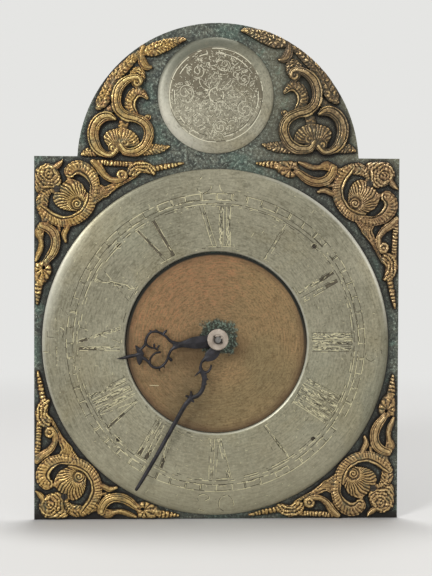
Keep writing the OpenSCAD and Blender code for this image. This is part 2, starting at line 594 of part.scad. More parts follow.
module bar_wedges() color(IRON) for (y = [-1, 1]) translate([-2.4, y * (bar_f + bar_t / 2), frame_h])
  rotate([90, 0, 90]) linear_extrude(height = 4.8)
    polygon([[-8, 0], [8, 0], [8, 4.6], [-8, 5.8]]);

module great_bush_front() color(BRASS) at(0, great_z, bar_f) disc(7, bar_t, great_pivot_r + run);

module great_bush_back() color(BRASS) at(0, great_z, -bar_f - bar_t) disc(5, bar_t, back_pivot_r + run);

module pivot_bushes() color(BRASS) {
  for (z = [second_z, escape_z, pallet_z]) at(0, z, bar_f) disc(bush_r, bar_t, pivot_r + run);
  for (z = [second_z, escape_z]) at(0, z, -bar_f - bar_t) disc(bush_r, bar_t, pivot_r + run);
}

module hand_stud() color(STEEL) at(0, hand_z, 0) difference() {
  union() {
    translate([0, 0, bar_f]) cylinder(r = 2.5, h = bar_t);
    translate([0, 0, bar_f + bar_t]) cylinder(r = 6, h = 2.2);
    translate([0, 0, bar_f + bar_t]) cylinder(r = stud_r, h = 41.6);
  }
  translate([0, 0, 80.3]) rotate([0, 0, 52]) translate([0, -6, 0])
    rotate([-90, 0, 0]) cylinder(r = 0.55, h = 12);
}

module back_cock() color(BRASS) {
  difference() {
    union() {
      translate([-21, 24, frame_h]) cube([42, 36, 3]);
      translate([-8, 57, pallet_z]) cube([16, 3, frame_h + 3 - pallet_z]);
      translate([0, 57, pallet_z]) rotate([-90, 0, 0]) cylinder(r = 8, h = 3);
      translate([-6, 59, frame_h - 4]) cube([12, 11, 8]);
    }
    translate([-10.5, 28, frame_h - 1]) cube([21, 20, 6]);
    for (x = [-15.5, 15.5]) translate([x, 38, frame_h - 1]) cylinder(r = 1.8, h = 6);
    translate([0, 50, pallet_z]) rotate([-90, 0, 0]) cylinder(r = pivot_r + run, h = 20);
    translate([-0.5, 62, frame_h - 6]) cube([1, 12, 14]);
  }
}

module cock_screws() color(STEEL) for (x = [-15.5, 15.5]) translate([x, 38, 0]) {
  translate([0, 0, frame_h - plate_t]) cylinder(r = 1.8, h = plate_t + 3.5);
  difference() {
    translate([0, 0, frame_h + 3]) cylinder(r = 3.4, h = 2.4);
    translate([-5, -0.4, frame_h + 4.6]) cube([10, 0.8, 2]);
  }
}

// Going train
module great_arbor() color(STEEL) at(0, great_z, 0) {
  translate([0, 0, -bar_f + 0.3]) cylinder(r = arbor_r, h = 2 * bar_f - 0.6);
  translate([0, 0, -bar_f - bar_t]) cylinder(r = back_pivot_r, h = 6);
  difference() {
    translate([0, 0, bar_f - 1]) cylinder(r = great_pivot_r, h = 14.5);
    translate([-8, 0, 48.2]) rotate([0, 90, 0]) cylinder(r = 0.8, h = 16);
  }
  translate([0, 0, 49]) rotate([0, 0, 90]) linear_extrude(height = 8)
    leaves(report_n, report_n * hour_m / 2, 0.36, 1.5);
}

module great_wheel() color(BRASS) at(0, great_z, 21)
  crossed(3, 35.5, 11, 9, arbor_r, 45) rotate([0, 0, 90])
    toothed(great_n, great_n * great_m / 2, second_pin_n * great_m / 4, 0.44,
            great_n * great_m / 2 + 1.15 * great_m, great_n * great_m / 2 - 1.05 * great_m);

module great_collet() color(BRASS) at(0, great_z, 24) difference() {
  turned([[0, 0], [9, 0], [9, 1.6], [7, 3.4], [7, 4], [0, 4]]);
  translate([0, 0, -1]) cylinder(r = arbor_r, h = 6);
}

module chain_sprocket() color(BRASS) at(0, great_z, 7) difference() {
  union() {
    cylinder(r = 14, h = 12.2);
    cylinder(r = 20, h = 2);
    translate([0, 0, 2]) cylinder(r1 = 20, r2 = 15.5, h = 2.4);
    translate([0, 0, 7.8]) cylinder(r1 = 15.5, r2 = 20, h = 2.4);
    translate([0, 0, 10.2]) cylinder(r = 20, h = 2);
    for (a = [0:60:300]) rotate([0, 0, a]) translate([13, 0, 6.1]) rotate([0, 90, 0])
      cylinder(r1 = 1.6, r2 = 0.6, h = 5.5);
  }
  translate([0, 0, -1]) cylinder(r = arbor_r + run, h = 15);
  rotate([0, 0, 8]) translate([15.5, 0, 10.4]) cylinder(r = 1, h = 4);
}

module click_spring() color(STEEL) at(0, great_z, 19.2) difference() {
  intersection() {
    disc(17.5, 1.2, 13.5);
    linear_extrude(height = 2)
      polygon([[0, 0], [40, 0], [40, 40], [-40, 40], [-40, -40], [20, -40]]);
  }
  rotate([0, 0, 8]) translate([15.5, 0, -1]) cylinder(r = 1, h = 4);
}

module click_rivet() color(STEEL) at(0, great_z, 17.4)
  rotate([0, 0, 8]) translate([15.5, 0, 0]) cylinder(r = 1, h = 3.2);

module sprocket_washer() color(STEEL) at(0, great_z, 5.2) disc(8.5, 1.5, arbor_r);

module pinion_arbor(z, count, m, root, f0, f1, r) color(STEEL) at(0, z, 0) {
  translate([0, 0, -bar_f + 0.3]) cylinder(r = r, h = 2 * bar_f - 0.6);
  translate([0, 0, -bar_f - bar_t]) cylinder(r = pivot_r, h = 2 * (bar_f + bar_t));
  translate([0, 0, f0]) rotate([0, 0, -90 + 180 / count]) linear_extrude(height = f1 - f0)
    leaves(count, count * m / 2, 0.36, root);
}

module second_arbor() pinion_arbor(second_z, second_pin_n, great_m, 3.4, 14, 28, 3);

module second_wheel() color(BRASS) at(0, second_z, -12)
  crossed(2, 26, 7, 7, 3, 45) rotate([0, 0, 90])
    toothed(second_n, second_n * second_m / 2, escape_pin_n * second_m / 4, 0.44,
            second_n * second_m / 2 + 1.15 * second_m, second_n * second_m / 2 - 1.05 * second_m);

module escape_arbor() pinion_arbor(escape_z, escape_pin_n, second_m, 2.1, -16, -4, 2);

module escape_wheel() color(BRASS) at(0, escape_z, 8)
  crossed(2, 14.6, 5, 5, 2, 0)
    polygon([for (i = [0:escape_n - 1]) let (a = i * 360 / escape_n)
      for (p = [spoke(17, a - 2.2), spoke(escape_r, a + 2.4), spoke(escape_r, a + 3.3), spoke(17, a + 3.6)]) p]);

module pallet_arbor() color(STEEL) at(0, pallet_z, 0) {
  translate([0, 0, -56.7]) cylinder(r = 2.2, h = 56.7 + bar_f - 0.3);
  translate([0, 0, -60]) cylinder(r = pivot_r, h = 60 + bar_f + bar_t);
}

// Anchor drawn about its own arbor, arms down to the wheel's tips
module anchor() color(STEEL) at(0, pallet_z, 5.5) difference() {
  union() {
    cylinder(r = 6, h = 7);
    linear_extrude(height = 7)
      polygon([[-20.6, -12], [-19.2, -16.9], [-15.6, -12.6], [-12.4, -8], [-8, -5.2], [0, -4.6], [8, -5.2],
               [12.4, -8], [15.6, -12.6], [19.2, -16.9], [20.6, -12], [17.4, -5.4], [11.4, 0.6], [0, 4],
               [-11.4, 0.6], [-17.4, -5.4]]);
  }
  translate([0, 0, -1]) cylinder(r = 2.2, h = 9);
}

module crutch() color(STEEL) at(0, pallet_z, -50) {
  difference() {
    cylinder(r = 5, h = 4);
    translate([0, 0, -1]) cylinder(r = 2.2, h = 6);
  }
  translate([-1.5, -70, 0.5]) cube([3, 66, 3]);
  translate([-5.4, -74, 0.5]) cube([10.8, 4.5, 3]);
  translate([-5.4, -74, -16]) cube([1.8, 4.5, 17]);
  translate([3.6, -74, -16]) cube([1.8, 4.5, 17]);
}

// Motion work
module equal_wheel(share) {
  toothed(minute_n, minute_n * minute_m / 2, minute_n * minute_m / 4, share,
          minute_n * minute_m / 2 + 1.0 * minute_m, minute_n * minute_m / 2 - 1.25 * minute_m);
}

module driver_wheel() color(BRASS) at(0, great_z, 45)
  crossed(2, 14.8, 8, 5, great_pivot_r, 45) rotate([0, 0, 90]) equal_wheel(0.42);

module friction_spring() color(BRASS) at(0, great_z, 0)
  turned([[great_pivot_r, 41], [7.5, 41], [14, 44.2], [14, 45], [7.2, 41.8], [great_pivot_r, 41.8]]);

module driver_pin() color(STEEL) at(0, great_z, 48.2) translate([-7, 0, 0]) rotate([0, 90, 0])
  cylinder(r1 = 0.8, r2 = 0.8, h = 14);

module minute_wheel() color(BRASS) at(0, hand_z, 45)
  crossed(2, 14.8, 8, 5, minute_pipe_r, 45) rotate([0, 0, -90 + 180 / minute_n]) equal_wheel(0.42);

module minute_pipe() color(STEEL) at(0, hand_z, 0) difference() {
  union() {
    translate([0, 0, 43]) cylinder(r = 6.5, h = 2);
    translate([0, 0, 43]) cylinder(r = minute_pipe_r, h = minute_hand_f - 0.4 - 43);
    rotate([0, 0, -minute_angle]) translate([-square_s / 2, -square_s / 2, 70])
      cube([square_s, square_s, minute_hand_f + 1.8 - 70]);
  }
  translate([0, 0, 40]) cylinder(r = stud_r + run, h = 50);
}

module hour_wheel() color(BRASS) at(0, hand_z, 52)
  crossed(2, 31, 10, 7, hour_pipe_r, 45) rotate([0, 0, -90 + 180 / hour_n])
    toothed(hour_n, hour_n * hour_m / 2, report_n * hour_m / 4, 0.44,
            hour_n * hour_m / 2 + 1.1 * hour_m, hour_n * hour_m / 2 - 1.05 * hour_m);

module hour_pipe() color(BRASS) at(0, hand_z, 0) difference() {
  union() {
    translate([0, 0, 50]) cylinder(r = 8.5, h = 2);
    translate([0, 0, 50]) cylinder(r = hour_pipe_r, h = hour_hand_f + 2 - 50);
  }
  translate([0, 0, 40]) cylinder(r = minute_pipe_r + run, h = 50);
}

dial_plate();
centre_disc();
chapter_ring();
ring_rivets();
arch_boss();
boss_rivet();
spandrel_top_left();
spandrel_top_right();
spandrel_bottom_left();
spandrel_bottom_right();
arch_spandrel_left();
arch_spandrel_right();
spandrel_screws();
dial_feet();
dial_foot_pins();
hour_hand();
minute_hand();
hand_collet();
hand_pin();
bottom_plate();
top_plate();
post_front_left();
post_front_right();
post_back_left();
post_back_right();
post_nuts();
front_bar();
back_bar();
bar_wedges();
great_bush_front();
great_bush_back();
pivot_bushes();
hand_stud();
back_cock();
cock_screws();
great_arbor();
great_wheel();
great_collet();
chain_sprocket();
click_spring();
click_rivet();
sprocket_washer();
second_arbor();
second_wheel();
escape_arbor();
escape_wheel();
pallet_arbor();
anchor();
crutch();
driver_wheel();
friction_spring();
driver_pin();
minute_wheel();
minute_pipe();
hour_wheel();
hour_pipe();
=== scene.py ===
"""Dressed model of an arched clock dial, its hands and the posted movement behind it.

Lengths in the drawing code are millimetres on the dial: u to the right, v up from the hands' axis, h forward from the
dial plate's face. place() turns them into metres in the frame of the solids.
"""

import json
import math

import bmesh
import bpy
import numpy as np
from mathutils import Matrix, Vector


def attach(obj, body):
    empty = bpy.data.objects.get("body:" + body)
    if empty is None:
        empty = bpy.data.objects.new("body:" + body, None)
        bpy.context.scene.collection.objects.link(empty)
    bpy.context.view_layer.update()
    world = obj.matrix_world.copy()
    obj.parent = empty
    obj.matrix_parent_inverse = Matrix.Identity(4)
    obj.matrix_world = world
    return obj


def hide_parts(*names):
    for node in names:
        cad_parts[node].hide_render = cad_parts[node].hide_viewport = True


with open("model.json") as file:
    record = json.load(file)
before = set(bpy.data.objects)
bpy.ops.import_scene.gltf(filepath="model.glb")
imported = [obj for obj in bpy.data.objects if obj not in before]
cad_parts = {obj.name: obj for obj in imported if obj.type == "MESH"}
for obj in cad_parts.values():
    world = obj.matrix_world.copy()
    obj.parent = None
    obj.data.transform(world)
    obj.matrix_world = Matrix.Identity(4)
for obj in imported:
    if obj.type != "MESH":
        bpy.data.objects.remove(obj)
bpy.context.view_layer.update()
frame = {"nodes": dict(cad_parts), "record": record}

HAND_Z = 89.0
FACE = 68.0
RING = (-0.9, -2.9)
RING_R, RING_HOLE = 133.2, 69.8
BOSS = (-1.9, 186.1)
BOSS_R = 44.4
DISC = (-0.7, -3.1)
HALF_W, HALF_H = 140.0, 139.0
ARCH_X, ARCH_MID, ARCH_R = 0.5, 133.5, 107.9
HOUR_ANGLE, MINUTE_ANGLE = 258.8, 208.3
HOUR_BACK, MINUTE_BACK = 4.2, 8.2
# the rivets through the ring, from its centre
RIVETS = [(x, y) for x in (-74.8, 74.8) for y in (-74.1, 74.1)]
# the size of a cell of carving in the castings and in the hands
CASTING_STEP, HAND_STEP = 0.32, 0.24

# ---------------------------------------------------------------- geometry
def place(u, v, h):
    """Dial millimetres to metres in the solids' frame."""
    return np.stack([u, -(FACE + h), HAND_Z + v], -1) * 0.001


def make_mesh(name, verts, faces, material, smooth=True, crest=None):
    mesh = bpy.data.meshes.new(name)
    mesh.from_pydata([tuple(map(float, p)) for p in verts], [], [tuple(map(int, f)) for f in faces])
    if crest is not None:
        attribute = mesh.attributes.new("crest", "FLOAT", "POINT")
        attribute.data.foreach_set("value", np.asarray(crest, np.float32))
    mesh.update()
    if smooth:
        mesh.polygons.foreach_set("use_smooth", [True] * len(mesh.polygons))
    obj = bpy.data.objects.new(name, mesh)
    bpy.context.scene.collection.objects.link(obj)
    mesh.materials.append(material)
    return obj


def edit_mesh(obj, change):
    """Puts an object's mesh through change(), which gets it as a bmesh."""
    bm = bmesh.new()
    bm.from_mesh(obj.data)
    change(bm)
    bm.to_mesh(obj.data)
    bm.free()


def even_normals(bm):
    bmesh.ops.recalc_face_normals(bm, faces=bm.faces)


def belongs(obj, body, node=None):
    """Says which body a piece rides on and the node that it takes the place of."""
    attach(obj, body)
    if node:
        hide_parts(node)


def rotated(x, y, a):
    """Turned clockwise about the centre by a radians."""
    return x * math.cos(a) + y * math.sin(a), -x * math.sin(a) + y * math.cos(a)


def spline(points, n, closed=False):
    """Catmull-Rom curve through rows of numbers, as the solids' outlines use."""
    p = np.asarray(points, float)
    count = len(p)
    out = []
    for i in range(count if closed else count - 1):
        if closed:
            a, b, c, d = p[i - 1], p[i], p[(i + 1) % count], p[(i + 2) % count]
        else:
            a, b, c, d = p[max(i - 1, 0)], p[i], p[i + 1], p[min(i + 2, count - 1)]
        for k in range(n):
            t = k / n
            square, cube = 2 * a - 5 * b + 4 * c - d, 3 * b - a - 3 * c + d
            out.append(0.5 * (2 * b + (c - a) * t + square * t**2 + cube * t**3))
    if not closed:
        out.append(p[-1])
    return np.array(out)


def blurred(a, cells):
    """Box blur, twice, over a grid."""
    k = 2 * cells + 1
    for _ in range(2):
        for axis in (0, 1):
            pad = [(0, 0), (0, 0)]
            pad[axis] = (cells + 1, cells)
            total = np.cumsum(np.pad(a, pad, mode="edge"), axis)
            high = np.take(total, range(k, total.shape[axis]), axis)
            low = np.take(total, range(0, total.shape[axis] - k), axis)
            a = (high - low) / k
    return a


class Relief:
    """A carved piece as heights over a grid, with its outline as a signed distance."""

    def __init__(self, low, high, step, wobble=0.0, seed=3):
        """wobble is how far, in millimetres, the cutter strays from each profile."""
        self.step = step
        self.x = np.arange(low[0], high[0] + step, step)
        self.y = np.arange(low[1], high[1] + step, step)
        self.X, self.Y = np.meshgrid(self.x, self.y)
        self.sdf = np.full(self.X.shape, 9.0)
        self.z = np.zeros(self.X.shape)
        self.rough = np.zeros(self.X.shape)
        self.noise = np.random.default_rng(seed)
        self.stray = [wobble * self.bumps(2.0) for _ in range(2)]

    def bumps(self, size):
        """Random ground with a spread of one, smooth over about size millimetres."""
        n = blurred(self.noise.standard_normal(self.X.shape), max(1, round(size / self.step)))
        return n / n.std()

    def window(self, x0, y0, x1, y1, margin=2.0):
        i0, i1 = np.searchsorted(self.x, [x0 - margin, x1 + margin])
        j0, j1 = np.searchsorted(self.y, [y0 - margin, y1 + margin])
        return slice(j0, j1), slice(i0, i1)

    def put(self, win, d, z, shape):
        self.sdf[win] = np.minimum(self.sdf[win], d)
        proud = (d < 0.7 * self.step) & (z > self.z[win])
        self.z[win] = np.where(proud, z, self.z[win])
        self.rough[win] = np.where(proud, CHASING.get(shape, 0.17), self.rough[win])

    def strap(self, points, shape, level=0.0, **kw):
        q = spline(points, 6)
        a, b = q[:-1], q[1:]
        w = q[:, 2].max() / 2
        win = self.window(q[:, 0].min() - w, q[:, 1].min() - w, q[:, 0].max() + w, q[:, 1].max() + w)
        P = np.stack([self.X[win].ravel(), self.Y[win].ravel()], -1)
        along = (b - a)[:, :2]
        length = np.hypot(*along.T)
        start = np.concatenate([[0], np.cumsum(length)[:-1]])
        best = np.full(len(P), 1e9)
        side, s, width = np.zeros(len(P)), np.zeros(len(P)), np.ones(len(P))
        for k in range(len(a)):
            rel = P - a[k, :2]
            t = np.clip(rel @ along[k] / max(length[k] ** 2, 1e-9), 0, 1)
            off = rel - t[:, None] * along[k]
            r = np.hypot(*off.T)
            wk = (a[k, 2] + (b[k, 2] - a[k, 2]) * t) / 2
            gap = r - wk
            near = gap < best
            best = np.where(near, gap, best)
            sign = np.sign(along[k, 0] * off[:, 1] - along[k, 1] * off[:, 0])
            side = np.where(near, sign * r, side)
            s = np.where(near, start[k] + t * length[k], s)
            width = np.where(near, wk, width)
        grid = self.X[win].shape
        side, s, width, best = (a.reshape(grid) for a in (side, s, width, best))
        u = np.clip((side + 0.4 * self.stray[0][win]) / np.maximum(width, 0.05), -1, 1)
        z = shape(u, s + self.stray[1][win], **kw) + level
        self.put(win, best, z, shape)

    def patch(self, points, shape, level=0.0, **kw):
        q = spline(points, 5, closed=True)
        win = self.window(*q.min(0), *q.max(0))
        x, y = self.X[win], self.Y[win]
        inside = np.zeros(x.shape, bool)
        best = np.full(x.shape, 1e9)
        for k in range(len(q)):
            (x0, y0), (x1, y1) = q[k - 1], q[k]
            if y0 != y1:
                cross = (y0 > y) != (y1 > y)
                inside ^= cross & (x < (x1 - x0) * (y - y0) / (y1 - y0) + x0)
            e = max((x1 - x0) ** 2 + (y1 - y0) ** 2, 1e-9)
            t = np.clip(((x - x0) * (x1 - x0) + (y - y0) * (y1 - y0)) / e, 0, 1)
            best = np.minimum(best, np.hypot(x - x0 - t * (x1 - x0), y - y0 - t * (y1 - y0)))
        d = np.where(inside, -best, best)
        z = shape(x + self.stray[0][win], y + self.stray[1][win], np.maximum(-d, 0), **kw) + level
        self.put(win, d, z, shape)

    def disc(self, px, py, r, shape, level=0.0, **kw):
        """The shape gets places from the disc's own centre."""
        win = self.window(px - r, py - r, px + r, py + r)
        x, y = self.X[win], self.Y[win]
        d = np.hypot(x - px, y - py) - r
        self.put(win, d, shape(x - px, y - py, np.maximum(-d, 0), **kw) + level, shape)

    def hole(self, other):
        """Cuts away what another relief covers."""
        self.sdf = np.maximum(self.sdf, -other.sdf)

    def dish(self, cx, cy, r, width, deep):
        """Lowers the surface in a ring about a point."""
        self.z -= deep * np.exp(-(((np.hypot(self.X - cx, self.Y - cy) - r) / width) ** 2))

    def sink(self, cx, cy, r, z):
        near = np.hypot(self.X - cx, self.Y - cy) < r
        self.z = np.where(near, np.minimum(self.z, z), self.z)

    def finish(self, top, edge=0.45):
        """Rounds the outer edges down, roughens the surface and notes what stands proud."""
        roll = np.clip(-self.sdf / edge, 0, 1)
        z = self.z * (0.62 + 0.38 * np.sqrt(roll * (2 - roll))) + self.rough * self.bumps(0.4)
        inside = (self.sdf < 0).astype(float)
        cells = max(2, round(1.2 / self.step))
        share = np.maximum(blurred(inside, cells), 0.05)
        around = blurred(z * inside, cells)
        self.crest = np.clip(0.5 + 0.8 * (z - around / share) + 0.12 * (z - around), 0, 1)
        self.z = np.clip(z, 0.3, top)
        return self

    def surface(self, cut=None):
        """Vertices (x, y, z), faces and crest of the closed piece, its outline drawn onto the zero line."""
        sdf = self.sdf if cut is None else np.maximum(self.sdf, cut)
        cell = (sdf[:-1, :-1] + sdf[1:, :-1] + sdf[:-1, 1:] + sdf[1:, 1:]) / 4 < 0
        # a lone diagonal touch would pinch the surface, so both its cells go
        for _ in range(3):
            pad = np.pad(cell, 1).astype(int)
            beside = pad[1:-1, 2:] + pad[1:-1, :-2] + pad[2:, 1:-1] + pad[:-2, 1:-1]
            a, b, e, f = cell[:-1, :-1], cell[1:, 1:], cell[1:, :-1], cell[:-1, 1:]
            bad = (a & b & ~e & ~f) | (e & f & ~a & ~b)
            pinch = np.zeros_like(cell)
            for rows in (slice(None, -1), slice(1, None)):
                for columns in (slice(None, -1), slice(1, None)):
                    pinch[rows, columns] |= bad
            cell = cell & (beside >= 2) & ~pinch
        count = np.zeros(sdf.shape, int)
        for dj, di in ((0, 0), (0, 1), (1, 0), (1, 1)):
            count[dj : dj + cell.shape[0], di : di + cell.shape[1]] += cell
        used = count > 0
        ids = np.full(sdf.shape, -1)
        ids[used] = np.arange(used.sum())
        gy, gx = np.gradient(sdf, self.step)
        g2 = np.maximum(gx**2 + gy**2, 0.3)
        rim = used & (count < 4)
        reach = 0.75 * self.step
        dx = np.clip(-sdf * gx / g2, -reach, reach) * rim
        dy = np.clip(-sdf * gy / g2, -reach, reach) * rim
        top = np.stack([(self.X + dx)[used], (self.Y + dy)[used], self.z[used]], -1)
        j, i = np.nonzero(cell)
        quads = np.stack([ids[j, i], ids[j, i + 1], ids[j + 1, i + 1], ids[j + 1, i]], -1)
        edges = np.concatenate([quads[:, [k, (k + 1) % 4]] for k in range(4)])
        _, index, times = np.unique(np.sort(edges, 1), axis=0, return_index=True, return_counts=True)
        border = edges[index[times == 1]]
        n = len(top)
        rim_ids = np.unique(border)
        foot = np.full(n, -1)
        foot[rim_ids] = n + np.arange(len(rim_ids))
        bottom = top[rim_ids] * [1, 1, 0]
        walls = np.stack([border[:, 1], border[:, 0], foot[border[:, 0]], foot[border[:, 1]]], -1)
        verts = np.concatenate([top, bottom])
        crest = np.concatenate([self.crest[used], np.zeros(len(bottom))])
        return verts, quads, walls, crest


def relief_object(name, relief, to_dial, back, material, cut=None, mirrored=False):
    """The relief as a closed mesh on the dial. to_dial maps its own x and y to the dial's."""
    verts, quads, walls, crest = relief.surface(cut)
    u, v = to_dial(verts[:, 0], verts[:, 1])
    faces = [tuple(f) for f in quads] + [tuple(f) for f in walls]
    if mirrored:
        faces = [f[::-1] for f in faces]
    obj = make_mesh(name, place(u, v, back + verts[:, 2]), faces, material, crest=crest)

    def close(bm):
        rim = [e for e in bm.edges if len(e.link_faces) == 1]
        made = bmesh.ops.triangle_fill(bm, edges=rim, use_beauty=False, use_dissolve=False)
        for f in made["geom"]:
            if isinstance(f, bmesh.types.BMFace):
                f.smooth = False
        even_normals(bm)

    edit_mesh(obj, close)
    return obj


# relief profiles along a strap: u across from -1 to 1, s millimetres along
def wave(phase, sharp=0.75):
    """Round lobes with narrow valleys between them, one lobe for each half turn."""
    return np.abs(np.sin(phase)) ** sharp


def plain(u, s, high=1.6):
    return 0.9 + high * np.sqrt(1 - 0.9 * u**2)


def line(u, at, width, deep):
    """A narrow groove along a strap."""
    return -deep * np.exp(-(((u - at) / width) ** 2))


def ribs(u, s, high=1.6, deep=0.95):
    """A broad moulding between two fine ones."""
    body = 0.75 + high * np.sqrt(1 - 0.88 * (u * 0.95 + 0.05) ** 2)
    return body + line(u, -0.62, 0.1, deep) + line(u, 0.36, 0.09, deep * 0.8) + line(u, 0.7, 0.09, deep * 0.7)


def gadroons(u, s, high=1.5, pitch=2.3, side=1, deep=0.55):
    """A smooth fillet on one side and lobes across the other."""
    v = u * side
    body = 1.0 + high * np.sqrt(np.clip(1 - 0.8 * v**2, 0, 1))
    lobes = deep * (1 - wave(math.pi * (s / pitch + 0.5 * v), 0.9)) * np.clip((v + 0.45) * 2.2, 0, 1)
    return body - lobes + line(v, -0.78, 0.15, -0.45) + line(v, -0.5, 0.12, 0.75) + line(v, 0.74, 0.08, 0.4)


def leafy(u, s, high=1.7, pitch=2.2, deep=0.7):
    """A leaf with a midrib and veins slanting away from it."""
    veins = deep * (1 - wave(math.pi * (s / pitch - 1.1 * np.abs(u)), 0.9))
    return 0.9 + high * (1 - 0.5 * u**2) - veins * np.clip(np.abs(u) * 3, 0.1, 1) + line(u, 0.1, 0.1, 0.4)


def beads(u, s, high=1.8, pitch=2.8):
    round_over = np.sqrt(np.clip(1 - 0.85 * u**2, 0, 1))
    return 0.7 + high * round_over * (0.3 + 0.7 * wave(math.pi * s / pitch))


# relief profiles over an area: inset is the distance in from the edge
def polar(x, y):
    return np.hypot(x, y), np.arctan2(y, x)


def flat(x, y, inset, high=1.5):
    return 0.9 + high * np.clip(inset / 1.2, 0, 1)


def fan(x, y, inset, cx, cy, count=26, high=2.0, deep=0.7, crown=8.0, twist=0.0):
    """Flutes that spread from one point over a domed shell."""
    r, a = polar(x - cx, y - cy)
    dome = high * np.sqrt(np.clip(inset / crown, 0, 1))
    flutes = deep * (1 - wave(count / 2 * (a + twist * r))) * np.clip(r / 3, 0.2, 1)
    edge = 0.35 * np.exp(-(((inset - 0.9) / 0.45) ** 2))
    return 1.1 + dome - flutes + edge


def rings(x, y, inset, cx=0.0, cy=0.0, pitch=2.2, high=1.4, deep=0.8, lobes=0, lobe_deep=0.4):
    r, a = polar(x - cx, y - cy)
    z = 1.1 + high * np.clip(inset / 1.6, 0, 1) ** 0.6 - deep * (1 - wave(math.pi * r / pitch + math.pi / 2))
    if lobes:
        z = z - lobe_deep * (1 - wave(lobes / 2 * a)) * np.clip(r / 5 - 0.6, 0, 1)
    return z


def petals(x, y, inset, cx, cy, count=9, high=1.7, deep=0.8):
    r, a = polar(x - cx, y - cy)
    return 1.0 + high * np.clip(inset / 2.2, 0, 1) ** 0.6 - deep * (1 - wave(count / 2 * a)) * np.clip(r / 3, 0, 1)


def eye(x, y, inset, high=2.0, pitch=2.6):
    """The curled end of a scroll."""
    r, a = polar(x, y)
    return 1.0 + high - 1.1 * (1 - wave(math.pi * r / pitch - a / 2 + 1.2)) * np.clip(r / 0.5, 0.5, 1) - 0.03 * r**2


# how uneven a surface is left, in millimetres, where it isn't chased rough
CHASING = {ribs: 0.05, eye: 0.06, flat: 0.08, fan: 0.09, gadroons: 0.08}


# ---------------------------------------------------------------- materials
def srgb(r, g, b):
    """Linear colour of an sRGB triple from 0 to 255."""
    def one(c):
        c /= 255
        return c / 12.92 if c <= 0.04045 else ((c + 0.055) / 1.055) ** 2.4
    return one(r), one(g), one(b), 1.0


class Value:
    """A node's output to reckon with: each step adds the node that it needs."""

    def __init__(self, tree, socket):
        self.tree, self.socket = tree, socket

    def math(self, operation, *others):
        return self.tree.add("Math", dict(enumerate((self, *others))), operation=operation)

    def __add__(self, other):
        return self.math("ADD", other)

    def __sub__(self, other):
        return self.math("SUBTRACT", other)

    def __mul__(self, other):
        return self.math("MULTIPLY", other)

    def __pow__(self, other):
        return self.math("POWER", other)

    def __abs__(self):
        return self.math("ABSOLUTE")

    def max(self, other):
        return self.math("MAXIMUM", other)

    def ramp(self, low, high, a=0.0, b=1.0):
        """Goes straight from a to b while this goes from low to high, and stays there."""
        return self.tree.add("MapRange", {"Value": self, "From Min": low, "From Max": high, "To Min": a, "To Max": b})

    def spread(self, reach):
        """A noise's usual range as one from -reach to reach."""
        return self.ramp(0.3, 0.7, -reach, reach)


class Tree:
    """The nodes of a material or world. A tuple given to a socket is an sRGB colour, from 0 to 255."""

    def __init__(self, owner):
        owner.use_nodes = True
        self.nodes, self.links = owner.node_tree.nodes, owner.node_tree.links
        self.nodes.clear()

    def set(self, socket, value):
        if isinstance(value, Value):
            self.links.new(value.socket, socket)
        else:
            socket.default_value = srgb(*value) if isinstance(value, tuple) else value

    def add(self, kind, inputs=None, output=0, **props):
        """Adds a node with its inputs set or linked, and gives the output asked for, if it has any."""
        node = self.nodes.new("ShaderNode" + kind)
        for name, value in props.items():
            setattr(node, name, value)
        for key, value in (inputs or {}).items():
            self.set(node.inputs[key], value)
        return Value(self, node.outputs[output]) if len(node.outputs) else None


class Surface(Tree):
    """A material painted on coat by coat. Places in it are metres in the frame of the solids."""

    def __init__(self, name, colour):
        self.material = bpy.data.materials.new(name)
        super().__init__(self.material)
        self.colour, self.normal = colour, {}
        self.where = self.add("TexCoord", output="Object")
        self.x, self.y, self.z = (self.add("SeparateXYZ", {0: self.where}, k) for k in range(3))

    def mix(self, share, a, b):
        return self.add("Mix", {0: share, 6: a, 7: b}, 2, data_type="RGBA")

    def paint(self, colour, share):
        """A coat over what is there: share is 0 where it leaves that and 1 where it hides it."""
        self.colour = self.mix(share, self.colour, colour)

    def noise(self, scale, detail=4.0, rough=0.55, where=None, distort=0.0):
        return self.add("TexNoise", {"Scale": scale, "Detail": detail, "Roughness": rough, "Distortion": distort,
                                     "Vector": where or self.where})

    def from_point(self, centre):
        """How far right and up of a point given in dial millimetres."""
        return self.x - centre[0] * 0.001, self.z - (HAND_Z + centre[1]) * 0.001

    def radius(self, centre):
        x, z = self.from_point(centre)
        return (x * x + z * z).math("SQRT")

    def turned(self, centre, across, around, detail, rough):
        """Noise drawn out into circles about a point, as turning and brushing leave them."""
        x, z = self.from_point(centre)
        r, angle = self.radius(centre), z.math("ARCTAN2", x)
        return self.noise(1.0, detail, rough, self.add("CombineXYZ", {0: r * across, 1: angle * around}))

    def open_to(self, reach):
        """How open the surface is, from 0 in a deep hollow to 1 on a free face, over a reach in metres."""
        return self.add("AmbientOcclusion", {"Distance": reach}, "AO", samples=6)

    def bump(self, height, strength, distance):
        self.normal = {"Normal": self.add("Bump", {"Strength": strength, "Distance": distance, "Height": height})}

    def shader(self, rough, metal=0.0, specular=0.5):
        return self.add("BsdfPrincipled", {"Base Color": self.colour, "Roughness": rough, "Metallic": metal,
                                           "Specular IOR Level": specular, **self.normal})

    def finish(self, rough, metal):
        self.add("OutputMaterial", {0: self.shader(rough, metal)})
        return self.material


